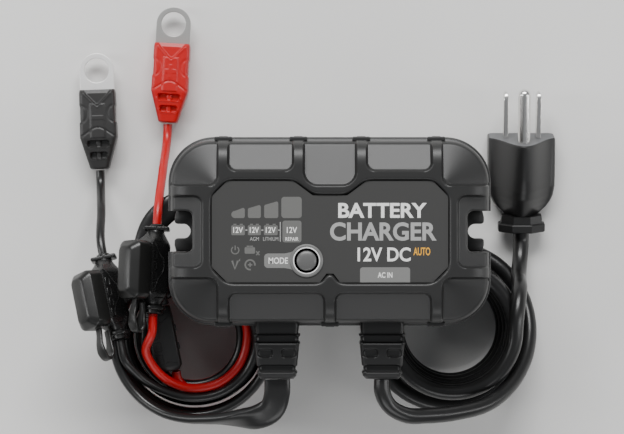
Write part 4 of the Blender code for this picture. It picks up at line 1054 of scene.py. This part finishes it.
def holder_body(colour):
    """The body, round at both ends, with its collar, its two-lobed disc, and snaps and seams on its sides."""
    rows = []
    for y in np.linspace(-14.4, 14.4, 72):
        round_share = eased((abs(y) - 8.2) / 6.6)
        row = []
        for q, p in holder_outline():
            facing = math.atan2(p - 1.0, q)
            to_q, to_p = 3.1 * math.cos(facing), 0.4 + 3.1 * math.sin(facing)
            row.append((q + round_share * (to_q - q), y, p + round_share * (to_p - p)))
        rows.append(row)
    made = [shaped("body", rows, None, 50)]
    step = [(0, 16.9), (3.3, 16.9), (3.6, 16.6), (3.65, 15.6), (4.3, 15.4), (4.5, 15.1)]
    step += [(4.5, 14.2), (4.2, 13.9), (0, 13.9)]
    made.append(turned("collar", step, None, Matrix.Rotation(math.pi / 2, 4, "X"), 48))
    neck = [(0, 16.9), (2.3, 16.9), (2.6, 16.6), (2.7, 14.0), (0, 14.0)]
    made.append(turned("neck", neck, None, Matrix.Rotation(-math.pi / 2, 4, "X"), 48))
    level = Matrix.Rotation(math.radians(HOLDER_LEAN), 4, "Y")
    for lobe in (-1, 1):
        ear = cushion("ear", (2.5, 0.75, 3.0), 1.5, 0.35)
        made.append(at_place(ear, level @ Matrix.Translation((lobe * 2.4 * MM, 15.3 * MM, -0.2 * MM))))
    seam = [(-9.6, 6.2), (-7.2, 4.2), (-4.2, 2.9), (-1.8, 1.0), (0.6, 0.2)]
    seam += [(3.4, 0.9), (6.0, 2.9), (8.2, 4.3), (9.8, 6.2)]
    for side in (-1, 1):
        for y in (-7.2, -3.2, 0.8, 4.8):
            snap = [(side * 5.22, y + a, 4.9 + b) for a, b in rounded(1.45, 0.85, 0.4, 3)]
            made.append(raised_line(snap, 0.18, True))
        points = smooth_path([Vector((side * 5.2, y, p)) * MM for y, p in seam], 0.5 * MM)
        made.append(wire("seam", points, 0.24 * MM))
        turns = np.linspace(-0.4, 0.9, 12)
        made.append(raised_line([(side * 4.75 * math.cos(a), -11.2, 6.2 * math.sin(a)) for a in turns], 0.16))
    return at_place(joined(f"{colour}_holder_body", made, HOLDER_BLACK, 40), holder_place(colour))


def holder_cap(colour):
    """The cap, hollow inside, with a raised and faceted top."""
    rows = []
    for p, half_q, half_y, radius in (
        (11.9, 3.2, 10.15, 0.8), (7.45, 3.2, 10.15, 0.8), (7.3, 3.35, 10.3, 0.9), (7.3, 5.55, 10.65, 2.6),
        (7.42, 5.8, 10.9, 2.7), (7.75, 5.9, 11.0, 2.8), (12.7, 5.85, 10.95, 2.8), (13.1, 5.75, 10.85, 2.8),
        (13.4, 5.5, 10.6, 2.7), (15.3, 3.7, 8.85, 2.2), (15.62, 3.3, 8.5, 2.0), (15.8, 2.8, 8.0, 1.7),
    ):
        rows.append([(q, y - 1.2, p) for q, y in rounded(half_q, half_y, radius, 8, 3)])
    return shaped(f"{colour}_cap_shell", rows, CAP_BLACK, 50, holder_place(colour))


def holder_strap(colour):
    """The cap's tether, a looped strap from the cap to the body."""
    place = holder_place(colour)
    lane = [(-12.3, 9.3), (-14.6, 9.5), (-18.4, 10.2), (-22.0, 9.7), (-23.8, 8.6)]
    lane += [(-24.1, 7.4), (-22.6, 6.0), (-20.6, 5.7), (-17.0, 5.4), (-13.2, 5.4)]
    points = smooth_path([Vector((0, y, z)) * MM for y, z in lane], 0.5 * MM)
    rows = []
    for i, point in enumerate(points):
        thin = Vector((1, 0, 0)).cross(heading(points, i)).normalized()
        bulge = math.exp(-(((point.y / MM + 21.5) / 3.0) ** 2))
        outline = rounded(1.45 + 0.75 * bulge, 0.6, 0.45, 4, 2)
        rows.append([point + Vector((a, 0, 0)) * MM + thin * b * MM for a, b in outline])
    strap = at_place(skin(f"{colour}_cap_strap", rows, CAP_BLACK, 50), place)
    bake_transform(strap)
    return strap


# ---------------------------------------------------------------- boots and ring terminals


def boot_place(colour):
    """The boot's own frame: +Y along the wire to the ring's centre at its origin, +Z up."""
    (x, y), tilt = BOOTS[colour]
    return Matrix.Translation(world([(x, y, 5.6)])[0]) @ Matrix.Rotation(math.radians(tilt), 4, "Z")


def boot_relief(x, y, colour):
    """Height of the boot's face over its even surface."""
    height = 0.45 * eased((3.0 - np.abs(x)) / 0.5) * eased((-13.0 - y) / 0.5) * eased((y + 26.6) / 0.5)
    mouth = (-7.0 - y) - (6.6 - np.abs(x)) * 1.05
    height -= 0.8 * eased(0.5 - mouth / 0.6)
    height += 0.35 * np.exp(-(((mouth - 0.6) / 0.35) ** 2)) * (np.abs(x) < 6.4)
    plate = eased((2.6 - np.abs(x)) / 0.3) * eased((0.8 - np.abs(y + 18.6)) / 0.3)
    if colour == "red":
        plate = np.maximum(plate, eased((0.8 - np.abs(x)) / 0.3) * eased((2.6 - np.abs(y + 18.6)) / 0.3))
    height += 0.42 * plate
    roof = -22.3 - 0.16 * x * x + 0.012 * np.abs(x) ** 3
    height -= 0.38 * np.exp(-(((y - roof) / 0.26) ** 2)) * (np.abs(x) < 6.9)
    for side in (-1, 1):
        round_side = np.hypot((x - side * 7.4) / 3.4, (y + 17.0) / 3.6)
        height -= 0.25 * np.exp(-(((round_side - 1) / 0.09) ** 2))
    for at, half in ((-28.7, 4.1), (-33.2, 3.2)):
        slot = box_distance(x, y, -half, half, at - 1.25, at + 1.25, 0.9)
        core = eased((1.1 - np.abs(x)) / 0.4)
        height -= (1.7 - 0.9 * core) * eased(0.5 - slot / 0.45)
        height += 0.22 * np.exp(-(((slot - 0.35) / 0.25) ** 2)) * (y < at)
    return height


def boot(colour):
    """The insulating boot: a tapered sleeve with its reliefs on both faces."""
    widths = [(-38.4, 3.6), (-37.9, 3.75), (-26.9, 6.95), (-26.2, 7.15), (-20.6, 7.1)]
    widths += [(-19.9, 6.75), (-14.4, 6.75), (-13.6, 7.0), (-8.6, 6.95), (-7.6, 6.7)]
    depths = [(-38.4, 3.0), (-37.9, 3.4), (-26.5, 5.0), (-9.0, 5.0), (-7.6, 4.4)]
    rows = []
    for y in np.concatenate([[-38.4, -38.3], np.arange(-38.1, -7.6, 0.2), [-7.6]]):
        half_x, half_z = straight(y, widths), straight(y, depths)
        if y < -38.25:
            half_x, half_z = half_x - 0.35, half_z - 0.25
        outline = np.array(rounded(half_x, half_z, 1.5, 4, 26))
        x, z = outline[:, 0], outline[:, 1]
        face = eased((np.abs(z) - half_z + 0.8) / 0.7)
        rise = np.clip(boot_relief(x, np.full(x.shape, y), colour) * face, -2.6, 0.55)
        rows.append(np.stack([x, np.full(x.shape, y), z + np.sign(z) * rise], axis=1))
    material = RED if colour == "red" else BOOT_BLACK
    return shaped(f"{colour}_boot_sleeve", rows, material, 60, boot_place(colour))


def grown(outline, grow, z):
    """An outline moved outwards from the origin by grow, at height z."""
    return [(x + grow * x / math.hypot(x, y), y + grow * y / math.hypot(x, y), z) for x, y in outline]


def ring_plate(colour):
    """The flat ring with its shank, its edges slightly rounded."""
    outer, inner = [], []
    for i in range(96):
        a = 2 * math.pi * i / 96
        c, s = math.cos(a), math.sin(a)
        reach = 6.65
        if s < 0:
            reach = min(6.65 / max(abs(c), 1e-6), 9.4 / abs(s))
        outer.append((reach * c, reach * s))
        inner.append((4.8 * c, 4.8 * s))
    edge = [(0, 0.65), (0.04, 0.76), (0.12, 0.8), (0.3, 0.8)]
    rows = [grown(inner, inset, -z) for inset, z in edge]
    rows += [grown(outer, -inset, -z) for inset, z in edge[::-1]]
    rows += [grown(outer, -inset, z) for inset, z in edge]
    rows += [grown(inner, inset, z) for inset, z in edge[::-1]]
    rows.append(rows[0])
    name = f"{colour}_ring_plate"
    # Its metal colour is the lit copy on the black lead and the shaded copy on the red lead: painted
    # highlight and painted shade.
    return shaped(name, rows, RING_METAL_LIT_AND_SHADED[colour], 40, boot_place(colour), (False, False))


# ---------------------------------------------------------------- assembly


def settle(obj, nodes=(), body="root"):
    """A piece rides on a body and stands for CAD nodes, which it hides."""
    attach(obj, body)
    if nodes:
        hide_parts(*nodes)


AC, AC_POINTS = ac_cord()
DC, DC_POINTS = dc_cable()
LEADS = leads()
TAILS = battery_leads()
settle(AC, ("ac_cord", "ac_cord_coil", "ac_cord_tail"))
settle(DC, ("dc_cable", "dc_cable_coil", "dc_cable_end"))
settle(LEADS["red"][0], ("red_lead", "red_lead_start", "lead_coil"))
settle(LEADS["black"][0], ("black_lead", "black_lead_start"))

settle(front_shell(), ("front_cover",))
REAR, PAD = rear_case()
settle(REAR, ("rear_shell",))
settle(PAD)
settle(lug(-1))
settle(lug(1))
settle(rib_clips())
for piece in label_print():
    settle(piece)
OUTER, INNER, CAP = button_pieces()
settle(OUTER, ("button_bezel",))
settle(INNER)
settle(CAP, ("mode_button",), "mode_button")

AC_RELIEF = strain_relief("ac_strain_relief_body", GROMMET_X)
DC_RELIEF = strain_relief("dc_strain_relief_body", -GROMMET_X)
settle(AC_RELIEF, ("ac_strain_relief",))
settle(DC_RELIEF, ("dc_strain_relief",))
PLUG, PLUG_FRONT, NECK, LINE, NEUTRAL, PIN = mains_plug()
settle(PLUG, ("plug_body",))
settle(PLUG_FRONT)
settle(NECK, ("plug_collar",))
settle(LINE, ("line_blade",))
settle(NEUTRAL, ("neutral_blade",))
settle(PIN, ("ground_pin",))
SPLIT = splitter()
settle(SPLIT, ("cable_splitter",))
ON_LEAD, ON_TAIL = {}, {}
for colour in HOLDERS:
    body, cap, strap = holder_body(colour), holder_cap(colour), holder_strap(colour)
    settle(body, (f"{colour}_fuse_holder",))
    settle(cap, (f"{colour}_fuse_cap",), f"{colour}_fuse_cap")
    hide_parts(f"{colour}_cap_tether")
    ON_LEAD[colour] = [body, cap, strap, frame["nodes"][f"{colour}_blade_fuse"]]
    sleeve, ring = boot(colour), ring_plate(colour)
    settle(sleeve, (f"{colour}_boot",))
    settle(ring, (f"{colour}_ring_terminal",))
    ON_TAIL[colour] = [sleeve, ring]
    settle(TAILS[colour][0], (f"{colour}_battery_lead",))


# ---------------------------------------------------------------- CAD pieces that are kept

CARRIED = {
    "case_plastic": CASE,
    "label_plastic": LABEL,
    "button_plastic": BUTTON,
    "bezel_plastic": PRINT_LOOKS["light"],
    "clear_plastic": PRINT_LOOKS["light"],
    "cord_rubber": MOULD,
    "red_rubber": RED,
    "plated_metal": METAL,
    "fuse_plastic": FUSE,
    "board_green": shader_material("board", (0.02, 0.12, 0.05), 0.5),
    "ferrite": shader_material("core", (0.05, 0.05, 0.055), 0.7),
    "copper_winding": shader_material("winding", (0.45, 0.18, 0.06), 0.35, 1.0),
    "capacitor_sleeve": shader_material("sleeve", (0.02, 0.025, 0.08), 0.4),
    "aluminium": shader_material("spreader", (0.7, 0.7, 0.7), 0.35, 1.0),
}
slots = {s["node"]: s["material_slot"] for s in frame["record"]["subparts"]}
for name, node in frame["nodes"].items():
    node.data.materials.clear()
    node.data.materials.append(CARRIED[slots[name]])


# ---------------------------------------------------------------- floor, light and camera


def area_light(name, place, target, size, power):
    """A soft rectangular light at its place, turned to the target."""
    lamp = bpy.data.lights.new(name, "AREA")
    lamp.shape = "RECTANGLE"
    lamp.size, lamp.size_y = size
    lamp.energy = power
    obj = bpy.data.objects.new(name, lamp)
    obj.location = place
    obj.rotation_euler = (Vector(target) - Vector(place)).to_track_quat("-Z", "Y").to_euler()
    bpy.context.scene.collection.objects.link(obj)


def surroundings():
    """A pale floor just under the cords, an even dim world and four soft lights."""
    bm = bmesh.new()
    bmesh.ops.create_grid(bm, x_segments=1, y_segments=1, size=6.0)
    mesh = bpy.data.meshes.new("floor")
    bm.to_mesh(mesh)
    bm.free()
    floor = link("floor", mesh, FLOOR)
    floor.location.z = TABLE_Z - 0.2 * MM
    world_look = bpy.data.worlds.new("studio")
    world_look.use_nodes = True
    background = world_look.node_tree.nodes["Background"]
    background.inputs["Color"].default_value = (0.80, 0.82, 0.85, 1)
    background.inputs["Strength"].default_value = 0.3
    bpy.context.scene.world = world_look
    area_light("top_light", (-0.05, 0.75, 0.70), (0, 0, 0), (0.9, 0.35), 15)
    area_light("left_strip", (-0.75, 0.05, 0.42), (-0.02, 0, 0), (0.15, 0.8), 2.6)
    area_light("right_strip", (0.80, -0.05, 0.45), (0.02, 0, 0), (0.15, 0.8), 2.2)
    area_light("low_fill", (0.05, -0.8, 0.55), (0, 0, 0), (0.9, 0.3), 2.5)


def camera():
    """A long lens straight above the case."""
    data = bpy.data.cameras.new("camera")
    data.lens = 162.0
    data.sensor_width = 36.0
    data.clip_start = 0.05
    obj = bpy.data.objects.new("camera", data)
    obj.location = (-6.5 * MM, 5.3 * MM, TABLE_Z + 1.1)
    bpy.context.scene.collection.objects.link(obj)
    bpy.context.scene.camera = obj


surroundings()
camera()
